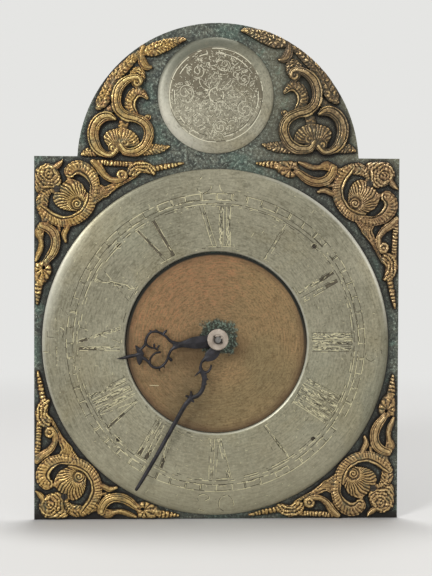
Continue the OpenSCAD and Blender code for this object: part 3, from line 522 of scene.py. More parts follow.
def dial_iron():
    """Iron under old paint and verdigris: grey-green, speckled, and black where castings and ring shade it."""
    t = Surface("dial_iron", (66, 72, 66))
    mid, fine = t.noise(170, 5, 0.65), t.noise(500, 4, 0.8)
    t.paint((114, 116, 103), mid.ramp(0.38, 0.62))
    t.paint((88, 112, 100), t.noise(30, 5).ramp(0.52, 0.62, 0.0, 0.6))
    t.paint((52, 54, 48), t.noise(85, 4, 0.7, distort=1.0).ramp(0.52, 0.62, 0.0, 0.85))
    t.paint((118, 150, 134), t.noise(55, 4, 0.65).ramp(0.6, 0.68, 0.0, 0.6))
    t.paint((38, 40, 34), fine.ramp(0.5, 0.38, 0.0, 0.85))
    t.paint((172, 184, 168), fine.ramp(0.54, 0.64, 0.0, 0.9))
    t.paint((150, 142, 112), t.x.ramp(0.02, 0.06) * t.z.ramp(0.2, 0.235) * 0.35)
    # painted shadow: a dark band on the plate round the ring's edge, weaker at the top and bottom
    painted_ring_shadow = t.radius(RING).ramp(0.1385, 0.1335, 0.0, 0.8) * t.y.ramp(-0.067, -0.0675)
    side = abs(t.x).ramp(0.03, 0.075, 0.2, 1.0)
    t.paint((26, 29, 24), painted_ring_shadow * side)
    # painted shade: near-black where the castings and ring hem the plate in
    t.paint((18, 13, 8), t.open_to(0.01).ramp(0.97, 0.82) * side.max(0.45))
    t.bump(fine + mid * 0.8, 0.5, 0.0004)
    return t.finish(mid.ramp(0.3, 0.7, 0.55, 0.8), 0.25)


def pewter(name, dark, light, centre):
    """Worn silvering: brushed round the centre, greenish and warm clouds, a grain of small pits."""
    t = Surface(name, dark)
    brushed = t.turned(centre, 900, 12, 3, 0.6)
    blotch, grain = t.noise(22, 5, 0.6), t.noise(520, 4, 0.7)
    t.paint(light, blotch.ramp(0.38, 0.66))
    t.paint((124, 130, 110), t.noise(11, 3).ramp(0.5, 0.66, 0.0, 0.35))
    t.paint((148, 136, 100), t.noise(15, 4, distort=0.8).ramp(0.52, 0.66, 0.0, 0.4))
    t.paint((178, 174, 150), brushed.ramp(0.35, 0.75, 0.0, 0.45))
    t.paint((96, 94, 76), brushed.ramp(0.5, 0.25, 0.0, 0.5))
    t.paint((186, 181, 156), grain.ramp(0.46, 0.3, 0.0, 0.5))
    t.paint((94, 90, 70), grain.ramp(0.52, 0.68, 0.0, 0.5))
    t.paint((104, 92, 66), t.noise(90, 4, 0.7).ramp(0.62, 0.76, 0.0, 0.5))
    return t, blotch, brushed + grain


PEWTER_ROUGH = 0.42


def ring_pewter():
    """The chapter ring's: painted highlights on the bevels towards the light and painted shade away from them,
    painted light towards the bottom, and a painted highlight on the polished outer edge.
    """
    t, _, relief = pewter("pewter_ring", (124, 120, 100), (158, 153, 131), RING)
    r, x, z = t.radius(RING), t.x, t.z
    edge = r.ramp((RING_R - 3.2) / 1000, (RING_R - 0.8) / 1000)
    slope = r.ramp((RING_R - 10) / 1000, (RING_R - 1.5) / 1000)
    inner = r.ramp((RING_HOLE + 1.5) / 1000, (RING_HOLE + 0.7) / 1000)
    facing_light = (x - z * 0.8).ramp(-0.12, -0.09)
    # painted highlight on the inner bevel, strongest where it faces the light
    t.paint((200, 200, 184), (inner * 0.3).max(inner * facing_light * 0.65))
    # painted shade on the outer slope, at the right and at the top left
    low_right = x.ramp(0.03, 0.09) * z.ramp(0.13, 0.09)
    top_left = x.ramp(0.0, -0.06) * z.ramp(0.1, 0.15) * x.ramp(-0.105, -0.085)
    t.paint((90, 88, 72), slope * low_right.max(top_left) * 0.6)
    # painted highlight on the outer slope at the left
    t.paint((214, 212, 196), slope * x.ramp(-0.095, -0.12) * z.ramp(0.075, 0.115, 0.0, 0.5))
    # painted light: the ring lighter towards the bottom
    t.paint((184, 178, 150), z.ramp(0.03, -0.03, 0.0, 0.35))
    # painted highlight on the outer edge at the right and left, where it is also polished smoother
    right, left = x.ramp(0.02, 0.08) * z.ramp(0.09, 0.14), x.ramp(-0.11, -0.13) * 0.45
    polish_and_highlight = edge * right.max(left)
    t.paint((222, 220, 206), polish_and_highlight * 0.8)
    t.bump(relief, 0.16, 0.0003)
    return t.finish(polish_and_highlight.ramp(0.0, 1.0, PEWTER_ROUGH, 0.28), 0.55)


def boss_pewter():
    """The arch's disc: a polished rim with a painted highlight at the lower left, round a browned field."""
    t, blotch, relief = pewter("pewter_boss", (138, 133, 114), (168, 163, 144), BOSS)
    r, x, z = t.radius(BOSS), t.x, t.z
    field, rim = r.ramp(0.0362, 0.0352), r.ramp(0.0354, 0.037)
    t.paint((104, 96, 78), field * (z + t.noise(40, 4).spread(0.014)).ramp(0.268, 0.29, 0.12, 0.85))
    # painted highlight on the rim at the lower left
    t.paint((218, 215, 200), rim * (x + z * 0.45).ramp(0.104, 0.07) * blotch.ramp(0.3, 0.7, 0.9, 0.5))
    t.paint((84, 86, 74), rim * (z - x * 0.4).ramp(0.276, 0.314) * 0.85)
    t.paint((112, 108, 90), rim * t.noise(330, 4, 0.75).ramp(0.56, 0.66, 0.0, 0.5))
    t.bump(relief, 0.14, 0.0003)
    return t.finish(rim.ramp(0.0, 1.0, PEWTER_ROUGH, 0.5), 0.5)


def disc_brass():
    """Brushed brass: reddish up left, olive down right, a dark rim of patina and painted shade, painted shadows of
    the ring's edge and of the hands, and verdigris at the hands.
    """
    t = Surface("disc_brass", (136, 120, 86))
    r, x, z = t.radius(DISC), t.x, t.z
    turned, cloud = t.turned(DISC, 900, 7, 4, 0.7), t.noise(26, 5, 0.6)
    across = t.noise(1.0, 3, 0.6, t.add("CombineXYZ", {0: x * 60, 1: z * 1800}))
    warm = (z - x * 0.55 + cloud.spread(0.03)).ramp(0.05, 0.14)
    t.paint((150, 118, 84), warm)
    t.paint((104, 90, 66), x.ramp(0.01, -0.02) * z.ramp(0.1, 0.06, 0.0, 0.7))
    t.paint((156, 132, 92), x.ramp(0.0, 0.03) * z.ramp(0.06, 0.13, 0.0, 0.75))
    t.paint((158, 132, 92), cloud.ramp(0.4, 0.66, 0.0, 0.4))
    t.paint((166, 98, 66), warm * turned.ramp(0.5, 0.66) * 0.65)
    t.paint((96, 76, 48), turned.ramp(0.52, 0.34, 0.0, 0.75))
    t.paint((184, 156, 112), turned.ramp(0.58, 0.72, 0.0, 0.5))
    t.paint((178, 152, 108), across.ramp(0.52, 0.72, 0.0, 0.35))
    t.paint((98, 80, 50), t.noise(130, 4, 0.7).ramp(0.54, 0.7, 0.0, 0.5))
    t.paint((92, 74, 50), t.noise(700, 3, 0.7).ramp(0.5, 0.68, 0.0, 0.7))
    # painted shadows of the hands, low on either side of the hub
    for hand_shadow, reach in (((-20, -11), 0.02), ((13, -7), 0.015)):
        t.paint((84, 62, 38), (t.radius(hand_shadow) + cloud.spread(0.004)).ramp(reach, 0.003, 0.0, 0.62))
    # a dark rim, part patina and part painted shade under the ring's edge
    t.paint((88, 64, 44), (r + t.noise(60, 3).spread(0.0015)).ramp(0.0625, 0.0685, 0.0, 0.7))
    # painted shadow of the ring's inner edge, strongest at the top and sides
    upper = (z - abs(x) * 0.4).ramp(0.03, 0.08, 0.25, 1.0)
    t.paint((26, 28, 22), r.ramp(0.0668, 0.0678) * upper)
    # the verdigris at the hands fills a square with round corners, ragged at its edge
    right, up = t.from_point((0.8, 1.5))
    square = abs(right * (1 / 0.014)) ** 3.0 + abs(up * (1 / 0.0132)) ** 3.0
    patch = (square + t.noise(170, 5, 0.65).spread(0.65)).ramp(1.25, 0.75)
    t.paint(t.mix(t.noise(600, 3, 0.7).ramp(0.48, 0.66), (42, 50, 45), (124, 144, 128)), patch * 0.92)
    t.bump(turned + t.noise(500, 2) * 0.5, 0.3, 0.0003)
    return t.finish(cloud.ramp(0.3, 0.7, 0.4, 0.54), 0.55)


def gilt():
    """Cast and gilded brass: bright crests, brown hollows, painted shade deep in them, painted light low down, copper
    and tarnish in patches, dull to the right.
    """
    t = Surface("gilt", (50, 42, 27))
    fine, x, z = t.noise(300, 4, 0.7), t.x, t.z
    crest = t.add("Attribute", output="Fac", attribute_name="crest") + fine.ramp(0.2, 0.8, -0.16, 0.16)
    copper = (x + t.noise(18, 3).spread(0.08)).ramp(-0.03, 0.09)
    body = t.mix(t.noise(60, 4).ramp(0.38, 0.62), (162, 128, 68), (136, 110, 72))
    body = t.mix(t.noise(95, 4, 0.6).ramp(0.5, 0.6, 0.0, 0.6), body, (136, 92, 62))
    body = t.mix(copper * 0.75, body, (128, 101, 74))
    crown = t.mix(copper * 0.8, (238, 212, 142), (214, 187, 144))
    crown = t.mix(t.noise(75, 4, 0.6).ramp(0.44, 0.58, 0.0, 0.75), crown, (172, 142, 88))
    t.paint(body, crest.ramp(0.24, 0.5))
    t.paint(crown, crest.ramp(0.58, 0.92))
    # painted light: the high points lighter towards the bottom
    t.paint((208, 174, 112), z.ramp(0.05, 0.0, 0.0, 0.35) * crest.ramp(0.4, 0.6))
    t.paint((90, 92, 72), t.noise(120, 4, 0.7).ramp(0.54, 0.68, 0.0, 0.7))
    t.paint((82, 62, 42), t.noise(430, 4, 0.75).ramp(0.52, 0.66, 0.0, 0.6))
    dull = x.ramp(0.0, 0.03) * z.ramp(0.222, 0.236)
    t.paint((60, 56, 44), dull * crest.ramp(0.55, 0.85, 0.75, 0.0))
    # painted shade: near-black deep in the hollows
    t.paint((28, 24, 17), t.open_to(0.002).ramp(0.7, 0.25, 0.0, 0.7))
    t.bump(fine, 0.3, 0.0004)
    return t.finish(crest.ramp(0.3, 0.8, 0.52, 0.32), 0.6)


def worn_metal(name, dark, light, spot, scale, rough, metal, spots=0.5, bump=0.15):
    """Old metal with soft clouds of tarnish, fine grain and a few darker spots."""
    t = Surface(name, dark)
    cloud, grain = t.noise(scale, 5, 0.6), t.noise(scale * 12, 3, 0.7)
    t.paint(light, cloud.ramp(0.35, 0.68))
    t.paint(spot, grain.ramp(0.55, 0.8, 0.0, 0.35))
    t.paint(spot, t.noise(scale * 3, 4, 0.7).ramp(0.58, 0.72, 0.0, spots))
    t.bump(grain + cloud, bump, 0.0004)
    return t.finish(cloud.ramp(0.3, 0.7, rough + 0.12, rough), metal)


def wheel_brass(z):
    """A wheel's brass, with the faint circles left by turning about its own arbor, z above the seat."""
    t = Surface("wheel_brass_%d" % z, (146, 116, 62))
    light = (200, 166, 98)
    cloud, circles = t.noise(55, 5, 0.6), t.turned((0.0, z - HAND_Z), 2400, 1.5, 3, 0.7)
    t.paint(light, cloud.ramp(0.35, 0.68))
    t.paint(light, circles.ramp(0.3, 0.8, 0.0, 0.4))
    t.paint((96, 82, 50), t.noise(160, 4, 0.7).ramp(0.58, 0.72, 0.0, 0.5))
    t.bump(circles, 0.12, 0.0003)
    return t.finish(cloud.ramp(0.3, 0.7, 0.46, 0.32), 0.85)


def collet():
    """The hands' collet: pale, with a dark seat round the stud's end."""
    t = Surface("collet", (156, 143, 130))
    t.paint((194, 182, 168), t.noise(130, 5, 0.6).ramp(0.35, 0.68))
    t.paint((36, 32, 28), t.radius((0.0, 0.0)).ramp(0.0038, 0.0034) * t.noise(420, 2).ramp(0.36, 0.46) * 0.9)
    return t.finish(0.45, 0.4)


def stroke_ink(name, colour, base, keep, rough=0.6):
    """What shows along an engraved line, the wax and bright metal in it and the painted shade and highlight of its
    walls: broken up, fading into the metal beside it.
    """
    t = Surface(name, colour)
    t.paint(base, t.noise(150, 4, 0.75).ramp(keep - 0.05, keep + 0.08))
    return t.finish(rough, 0.3)


M_DIAL = dial_iron()
M_RING = ring_pewter()
M_BOSS = boss_pewter()
M_DISC = disc_brass()
M_GILT = gilt()
M_COLLET = collet()
M_BLUED = worn_metal("blued_steel", (26, 25, 27), (52, 51, 56), (84, 66, 54), 160, 0.46, 0.5, 0.3)
M_IRON = worn_metal("forged_iron", (52, 51, 50), (84, 82, 80), (92, 66, 46), 45, 0.5, 0.55, 0.4, 0.4)
M_STEEL = worn_metal("turned_steel", (122, 120, 117), (170, 168, 163), (92, 78, 64), 70, 0.28, 0.9, 0.35, 0.1)
M_BRASS = worn_metal("dull_brass", (140, 112, 62), (190, 158, 96), (92, 78, 46), 60, 0.34, 0.85, 0.5, 0.12)
M_DARK_PIN = worn_metal("dark_pin", (44, 40, 34), (70, 62, 52), (30, 26, 22), 200, 0.6, 0.3)

# ---------------------------------------------------------------- castings
TOP = 3.95


def draw_corner(r):
    """The corner casting as it sits top left, from the square's corner: x right, y up."""
    r.patch([[17.4, -20.6], [22.2, -22.4], [21.8, -27.4], [17.4, -29.6], [12.6, -27.6], [12.8, -22.6]], flat, 0,
            high=0.7)
    for p in ([[43, -12, 4], [47.6, -12.6, 3], [51, -13, 3]], [[9, -44, 6], [8.2, -49, 6], [8.4, -54, 5]],
              [[18.5, -50.5, 3], [19, -56, 3.4], [18, -61, 3]]):
        r.strap(p, plain, 0, high=0.8)
    r.strap([[13, -26.4, 2.8], [8.4, -29.4, 7.4], [6.4, -33.6, 9.6], [6.2, -39, 8.4]], leafy, 0, high=1.2, pitch=2.3)
    r.strap([[53.9, -28.4, 5.8], [59.6, -24.2, 5], [65.3, -20.9, 3.3], [72, -17.4, 2.8], [77.7, -14.4, 2.8]],
            gadroons, 0, high=0.9, pitch=2.4, deep=0.5)
    r.patch([[45.9, -29], [49, -24.6], [50.1, -21.2], [54, -22.6], [58.4, -20.6], [65.4, -19.6],
             [64.4, -23.6], [59, -27.2], [54, -31.2], [46.6, -36]],
            fan, 0, cx=43, cy=-27, count=46, high=1.2, crown=4)
    r.patch([[0.7, -14.8], [2.1, -9.6], [6.4, -6.4], [12, -6], [17.2, -9], [20.4, -15.6],
             [20.6, -21.6], [17, -24.1], [11.3, -25.2], [5.6, -26.8], [2.3, -28.3], [0.7, -23]],
            rings, 0.3, cx=11.4, cy=-13.6, pitch=2.6, high=1.4, lobes=18)
    r.disc(11.4, -13.6, 2.4, rings, 0.7, pitch=2.4, high=1.1, deep=0.7)
    r.strap([[13.6, -9.6, 3.6], [17.4, -7.8, 4.6], [19.8, -5.7, 3.6], [21.4, -3.5, 1.3]], ribs, 0.3,
            high=1.5, deep=0.5)
    r.strap([[43.4, -28, 6.6], [43.2, -33.6, 8.4], [40.8, -39.8, 8.8], [36.2, -45, 8.6], [30.4, -48.6, 8.2],
             [22.9, -49.9, 8.4], [15.4, -48, 9], [9, -43.9, 9], [5, -39.6, 5.4]],
            gadroons, 0.5, high=1.3, pitch=2.2, side=1)
    r.patch([[42, -30.6], [39.8, -26.4], [37.4, -22], [33, -18.4], [28.4, -16.8], [25.2, -17.9], [22, -20.4],
             [19.2, -23.8], [16, -27], [14.2, -31], [14.8, -34.6], [17, -38], [20.4, -40.2], [25, -41.6],
             [30, -42], [36, -42.4], [40.6, -38]],
            fan, 0.2, cx=32.8, cy=-36.4, count=34, high=1.7, deep=1.0, crown=7, twist=-0.03)
    r.dish(32.8, -36.4, 4.1, 1.2, 1.0)
    r.sink(32.8, -36.4, 3.9, 1.0)
    r.disc(32.8, -36.4, 3.7, eye, 0.2, high=1.2, pitch=2.2)
    r.strap([[27.6, -12, 9.6], [31, -9.2, 10.8], [36, -9.1, 10.8], [41, -12.2, 10.8], [44.2, -16.9, 9.6],
             [45.9, -22.6, 8.2], [45.4, -29.4, 7]], gadroons, 0.5, high=1.4, pitch=2.2, side=1)
    r.strap([[26, -13.5, 4], [26.4, -17, 3.4], [28, -19.8, 3]], plain, 0.6, high=1.0)
    r.strap([[43.2, -3.9, 2.8], [50.6, -4.6, 4.8], [57.9, -5.2, 4.6], [67, -5.7, 4.4], [76, -6, 4.2]], beads, 0,
            high=1.6, pitch=2.4)
    r.strap([[45, -4.6, 4], [49.6, -8.8, 5.6], [53.4, -14.2, 5.2], [58.8, -17.8, 4.4], [64.4, -17.6, 4.2],
             [69.4, -15.2, 3.4]], ribs, 1.0, high=1.3, deep=0.7)
    r.disc(66.8, -14.2, 4.7, rings, 1.0, pitch=2.9, high=1.1)
    r.patch([[70.3, -10.6], [73.5, -4.4], [81.8, -2.9], [88.3, -5.1], [92.9, -9.2], [91.9, -14.2],
             [87.5, -13.6], [81.8, -12.6], [77.3, -16], [71.4, -14.4]],
            rings, 0.4, cx=81.5, cy=-17.2, pitch=2.5, high=1.4, lobes=40)
    r.strap([[89.2, -9.6, 5.6], [96.6, -8, 4.8], [104, -6.6, 4.2], [113, -5, 2]], beads, 0, high=1.8, pitch=3.0)
    r.strap([[1.6, -79.6, 2.2], [3.5, -74.7, 4.2], [5.4, -68.9, 4.2], [5.1, -63.2, 4.2], [4.1, -58.6, 7.2],
             [6.4, -53, 6]], ribs, 0.4, high=1.2, deep=0.6)
    r.disc(4.6, -58.2, 3.1, eye, 0.6, high=0.9)
    r.strap([[26.4, -52, 4.1], [24.6, -56, 4.4], [22.9, -59.8, 4.4], [24, -64.9, 2.5]], ribs, 0.3, high=1.3, deep=0.6)
    r.strap([[5.6, -53.4, 5], [10, -54.4, 6.8], [14.4, -58, 7.2], [16.6, -63.8, 7.2], [15.9, -70.2, 7.2],
             [12.7, -75.8, 6.8], [9.4, -80, 5.2]], ribs, 0.9, high=1.6, deep=0.9)
    r.patch([[0.9, -82.1], [4.7, -80.2], [10.5, -79.2], [13.2, -84.2], [13.2, -88.9], [10.3, -94.6],
             [6.4, -98.6], [1.5, -98.2], [0.2, -90.3]], petals, 0.5, cx=7, cy=-86.5, count=9, high=1.4)
    r.strap([[3.9, -96.9, 6.4], [3, -104.3, 5.2], [2.5, -112.2, 2]], beads, 0, high=1.8, pitch=2.8)


def draw_corner_gaps(r):
    """What is pierced through the corner casting."""
    r.disc(7.6, -85, 1.4, flat)
    r.disc(17.4, -25.3, 1.5, flat)
    r.strap([[31, -15.3, 1.8], [35, -16, 3.2], [38.7, -18.9, 3.8], [41, -22.7, 3.8], [41.2, -27.2, 2.2]], plain)
    r.strap([[12.7, -31.6, 2.2], [12.6, -36.2, 3.2], [15.4, -40.6, 4], [19.4, -43, 3.2], [24, -43.6, 2.2],
             [28.6, -43, 1.4]], plain)


def corner_relief():
    low, high = (-1, -116), (117, 1)
    r, gaps = Relief(low, high, CASTING_STEP, wobble=0.45), Relief(low, high, CASTING_STEP)
    draw_corner(r)
    draw_corner_gaps(gaps)
    r.finish(TOP)
    r.sink(17.4, -25.3, 2.4, 1.6)
    r.hole(gaps)
    return r


def draw_arch(r):
    """The arch casting on the left, from the hands' axis and the square's top: x right, y up."""
    for p in ([[-76.2, 4, 3.2], [-74.6, 7, 3.4], [-74.8, 10.5, 3]],
              [[-88.4, 30.5, 4], [-84.4, 34, 6], [-80, 37.4, 6]],
              [[-74, 18, 6], [-73, 23.6, 7.4], [-71, 28.6, 6.6]]):
        r.strap(p, plain, 0, high=0.8)
    r.strap([[-63, 53.6, 3], [-60.6, 51, 4], [-59.6, 47.6, 4]], plain, 0.2, high=1.0)
    r.strap([[-92, 36.6, 4], [-88.8, 41.4, 9.4], [-85.2, 48.2, 10], [-81.6, 55.6, 9.6], [-77, 62.4, 8.8],
             [-71.8, 67.9, 8], [-66.6, 73.2, 7], [-61.4, 78, 4.6]], leafy, 0.2, high=1.2, pitch=3.4, deep=0.55)
    r.strap([[-57.9, 82, 5.6], [-59.2, 76.6, 5], [-58, 71, 7], [-55.4, 68.2, 5.6], [-52.2, 67.9, 3]], ribs, 0.4,
            high=1.2, deep=0.6)
    r.strap([[-67, 61.6, 4], [-62.6, 64.6, 7], [-58.8, 62.6, 5.6], [-58.6, 58.4, 4.4]], leafy, 0.3,
            high=1.4, pitch=2.2)
    r.strap([[-54.6, 79.6, 7], [-49.2, 81.2, 10.4], [-42.5, 83.9, 9.8], [-35.9, 86.5, 7.6], [-30.2, 88.4, 5],
             [-26.2, 89.2, 2.4]], leafy, 0.5, high=1.6, pitch=2.5)
    r.strap([[-104, 1.4, 2.4], [-99.8, 3, 6.4], [-94, 3.2, 6.8], [-88, 2, 4.4]], leafy, 0, high=1.2, pitch=2.3)
    r.strap([[-72.8, 1.6, 2.4], [-64.7, 1.6, 3.6], [-56, 3.8, 6.4], [-50, 5.6, 8.4], [-44, 6.2, 6.2],
             [-38, 7.6, 2]], leafy, 0.2, high=1.3, pitch=2.4)
    r.patch([[-87, 10.4], [-88, 15], [-85.4, 18.8], [-79.8, 21], [-73.4, 21.8], [-67.8, 20.6],
             [-62.8, 17], [-60.4, 12.6], [-61, 8], [-68.7, 6.4], [-76.2, 4.5], [-82.3, 5.5]],
            fan, 0.1, cx=-75, cy=6, count=34, high=2.0, crown=6)
    r.strap([[-54.8, 44.4, 2.4], [-59, 48.2, 6.6], [-63.8, 47.8, 8.4], [-67.2, 42.8, 8.6],
             [-67.2, 36.8, 8], [-63.8, 31.4, 5.4]], gadroons, 0.3, high=1.3, pitch=2.2, side=-1)
    r.disc(-54.4, 29.8, 2.6, eye, 0.3, high=1.2)
    r.strap([[-79.4, 28.4, 3.2], [-83.8, 30, 6.6], [-89, 29, 8.2], [-93.7, 24.4, 8.8],
             [-95.8, 16.9, 8.8], [-94.4, 9.6, 8.2], [-91, 4.4, 6.6], [-86, 1.4, 5],
             [-81, 1.6, 4.6], [-77.8, 5.4, 4]], ribs, 1.0, high=1.9, deep=1.0)
    r.disc(-80.3, 6.3, 3.8, eye, 0.7, high=1.5)
    r.disc(-62.6, 56.2, 4, eye, 0.9, high=1.3)
    r.strap([[-59.9, 56, 3.6], [-61.2, 59, 4], [-65.8, 59.4, 5.2], [-71.8, 56.6, 6.6], [-76.2, 51, 7.2],
             [-78.1, 44.1, 7.4], [-77.4, 37.6, 7.4], [-74.2, 32.8, 7.4], [-69.4, 30.2, 7.2],
             [-63.6, 29, 7.2], [-57.8, 26.4, 7.4], [-53.9, 21.4, 7.6], [-53.5, 14.9, 7.8], [-56.4, 8.4, 7.6],
             [-61.8, 4.2, 7.2], [-67.8, 3, 6.4], [-72.4, 4.4, 5.4], [-75, 8.4, 4.2]], ribs, 1.15, high=1.95, deep=1.0)
    r.disc(-72, 10.2, 4.1, eye, 0.8, high=1.6)


def arch_relief():
    r = Relief((-108, -2), (-23, 95), CASTING_STEP, wobble=0.45, seed=12)
    draw_arch(r)
    return r.finish(TOP)


# which corner, its side across and up, quarter turns, and how far off the exact corner it was fixed
CORNERS = [("top_left", -1, 1, 0, 0.0, 0.0), ("bottom_left", -1, -1, 1, -2.0, 0.5),
           ("bottom_right", 1, -1, 2, -1.8, -1.8), ("top_right", 1, 1, 3, 1.9, -2.0)]


def corner_castings():
    r = corner_relief()
    for name, sx, sy, turns, du, dv in CORNERS:
        c, s = [(1, 0), (0, 1), (-1, 0), (0, -1)][turns]

        def to_dial(x, y, c=c, s=s, ou=sx * HALF_W + du, ov=sy * HALF_H + dv):
            return ou + c * x - s * y, ov + s * x + c * y

        u, v = to_dial(r.X, r.Y)
        cut = RING_R + 0.6 - np.hypot(u - RING[0], v - RING[1])
        obj = relief_object("casting_" + name, r, to_dial, 0.0, M_GILT, cut)
        belongs(obj, "frame", "spandrel_" + name)


def arch_castings():
    """The left one as drawn, the right one its mirror image, grown and turned about its middle as it was fitted."""
    r = arch_relief()
    grow, turn = 1.07, math.radians(-2.2)

    def left(x, y):
        return ARCH_X + x, HALF_H + y

    def right(x, y):
        u, v = rotated(grow * (-x - 74.0), grow * (y - 23.9), turn)
        return ARCH_X + 71.5 + u, HALF_H + 28.6 + v

    for side, to_dial in (("left", left), ("right", right)):
        u, v = to_dial(r.X, r.Y)
        past_edge = np.hypot(u - ARCH_X, v - ARCH_MID) - ARCH_R + 0.2
        obj = relief_object("casting_arch_" + side, r, to_dial, 0.0, M_GILT, past_edge, mirrored=side == "right")
        belongs(obj, "frame", "arch_spandrel_" + side)


# ---------------------------------------------------------------- turned pieces
def lathe(name, profile, centre, material, steps, holes=()):
    """A closed turned piece from (radius, height) pairs, bored where holes are given as (u, v, r)."""
    prof = np.asarray(profile, float)
    closed = prof[0, 0] > 0.01
    a = np.arange(steps) * 2 * math.pi / steps
    verts, faces = [], []
    n = len(prof)
    for r, h in prof:
        if r < 0.01:
            verts.append([(centre[0], centre[1], h)])
        else:
            verts.append([(centre[0] + r * math.cos(t), centre[1] + r * math.sin(t), h) for t in a])
    start = np.concatenate([[0], np.cumsum([len(v) for v in verts])])
    pairs = [(i, i + 1) for i in range(n - 1)] + ([(n - 1, 0)] if closed else [])
    for i, j in pairs:
        one, two = len(verts[i]) == 1, len(verts[j]) == 1
        for k in range(steps):
            m = (k + 1) % steps
            if one:
                faces.append((start[i], start[j] + k, start[j] + m))
            elif two:
                faces.append((start[i] + m, start[i] + k, start[j]))
            else:
                faces.append((start[i] + k, start[j] + k, start[j] + m, start[i] + m))
    obj = make_mesh(name, place(*np.array([p for row in verts for p in row]).T), faces, material)
    edit_mesh(obj, even_normals)
    for u, v, r in holes:
        bpy.ops.mesh.primitive_cylinder_add(vertices=32, radius=r * 0.001, depth=0.02,
                                            location=place(u, v, 2.0), rotation=(math.pi / 2, 0, 0))
        cutter = bpy.context.object
        mod = obj.modifiers.new("bore", "BOOLEAN")
        mod.object, mod.operation, mod.solver = cutter, "DIFFERENCE", "EXACT"
        bpy.context.view_layer.objects.active = obj
        bpy.ops.object.modifier_apply(modifier="bore")
        bpy.data.objects.remove(cutter)
    sharpen(obj, 32)
    return obj


def sharpen(obj, degrees):
    """Marks edges past an angle sharp, so flats stay flat beside rounded parts."""
    def mark(bm):
        for e in bm.edges:
            e.smooth = len(e.link_faces) == 2 and e.calc_face_angle(0) < math.radians(degrees)

    edit_mesh(obj, mark)


RING_PROFILE = np.vstack([
    [[RING_HOLE, 0.02], [RING_HOLE, 1.3], [RING_HOLE + 0.4, 2.0], [RING_HOLE + 1.2, 2.6]],
    spline([[RING_HOLE + 2.1, 2.86], [RING_HOLE + 12, 2.88], [RING_R - 30, 2.88], [RING_R - 24, 2.86],
            [RING_R - 18, 2.76], [RING_R - 12, 2.56], [RING_R - 8, 2.3], [RING_R - 5, 1.98], [RING_R - 3, 1.62],
            [RING_R - 1.5, 1.2], [RING_R - 0.4, 0.62], [RING_R - 0.15, 0.3], [RING_R - 0.5, 0.02]], 3)])
BOSS_PROFILE = spline([[0.005, 3.66], [12, 3.6], [24, 3.4], [33, 3.14], [36, 3.0], [39, 2.72], [BOSS_R - 3.2, 2.3],
                       [BOSS_R - 1.7, 1.7], [BOSS_R - 0.6, 1.0], [BOSS_R - 0.1, 0.5], [BOSS_R - 0.1, 0.02]], 4)


def height_on(profile, r):
    """Surface height of a turned piece at radius r."""
    p = profile[np.argsort(profile[:, 0])]
    keep = p[:, 1] > 0.5
    return np.interp(r, p[keep, 0], p[keep, 1])


# ---------------------------------------------------------------- engraving
class Strokes:
    """Thin strips laid along engraved lines, following a turned surface."""

    def __init__(self, centre, profile):
        self.centre, self.profile = centre, profile
        self.verts, self.faces = [], []

    def line(self, points, width, lift=0.03):
        p = np.asarray(points, float)[:, :2]
        if len(p) < 2:
            return
        d = np.gradient(p, axis=0)
        d /= np.maximum(np.hypot(*d.T), 1e-6)[:, None]
        n = np.stack([-d[:, 1], d[:, 0]], -1)
        w = np.broadcast_to(width, len(p))[:, None] / 2
        base = len(self.verts)
        for q in np.stack([p + n * w, p - n * w], 1).reshape(-1, 2):
            r = math.hypot(*q)
            self.verts.append((self.centre[0] + q[0], self.centre[1] + q[1], height_on(self.profile, r) + lift))
        for k in range(len(p) - 1):
            i = base + 2 * k
            self.faces.append((i, i + 1, i + 3, i + 2))

    def build(self, name, material):
        obj = make_mesh(name, place(*np.array(self.verts).T), [f[::-1] for f in self.faces], material, smooth=False)

        def face_out(bm):
            for f in bm.faces:
                f.normal_update()
                if f.normal.y > 0:
                    f.normal_flip()

        edit_mesh(obj, face_out)
        belongs(obj, "frame")


def arc(r, a0, a1, n):
    """Points of a circle about the centre, angles in degrees clockwise from twelve."""
    a = np.radians(np.linspace(a0, a1, n))
    return np.stack([r * np.sin(a), r * np.cos(a)], -1)


def on_ring(angle, points):
    """Upright on the ring at an angle: x across, y the radius."""
    x, y = np.asarray(points, float)[:, :2].T
    return np.stack(rotated(x, y, math.radians(angle)), -1)


def walk(points, step):
    """A line's points again, evenly spaced."""
    p = np.asarray(points, float)[:, :2]
    s = np.concatenate([[0], np.cumsum(np.hypot(*np.diff(p, axis=0).T))])
    t = np.linspace(0, s[-1], max(2, int(s[-1] / step) + 1))
    return np.stack([np.interp(t, s, p[:, i]) for i in (0, 1)], -1)


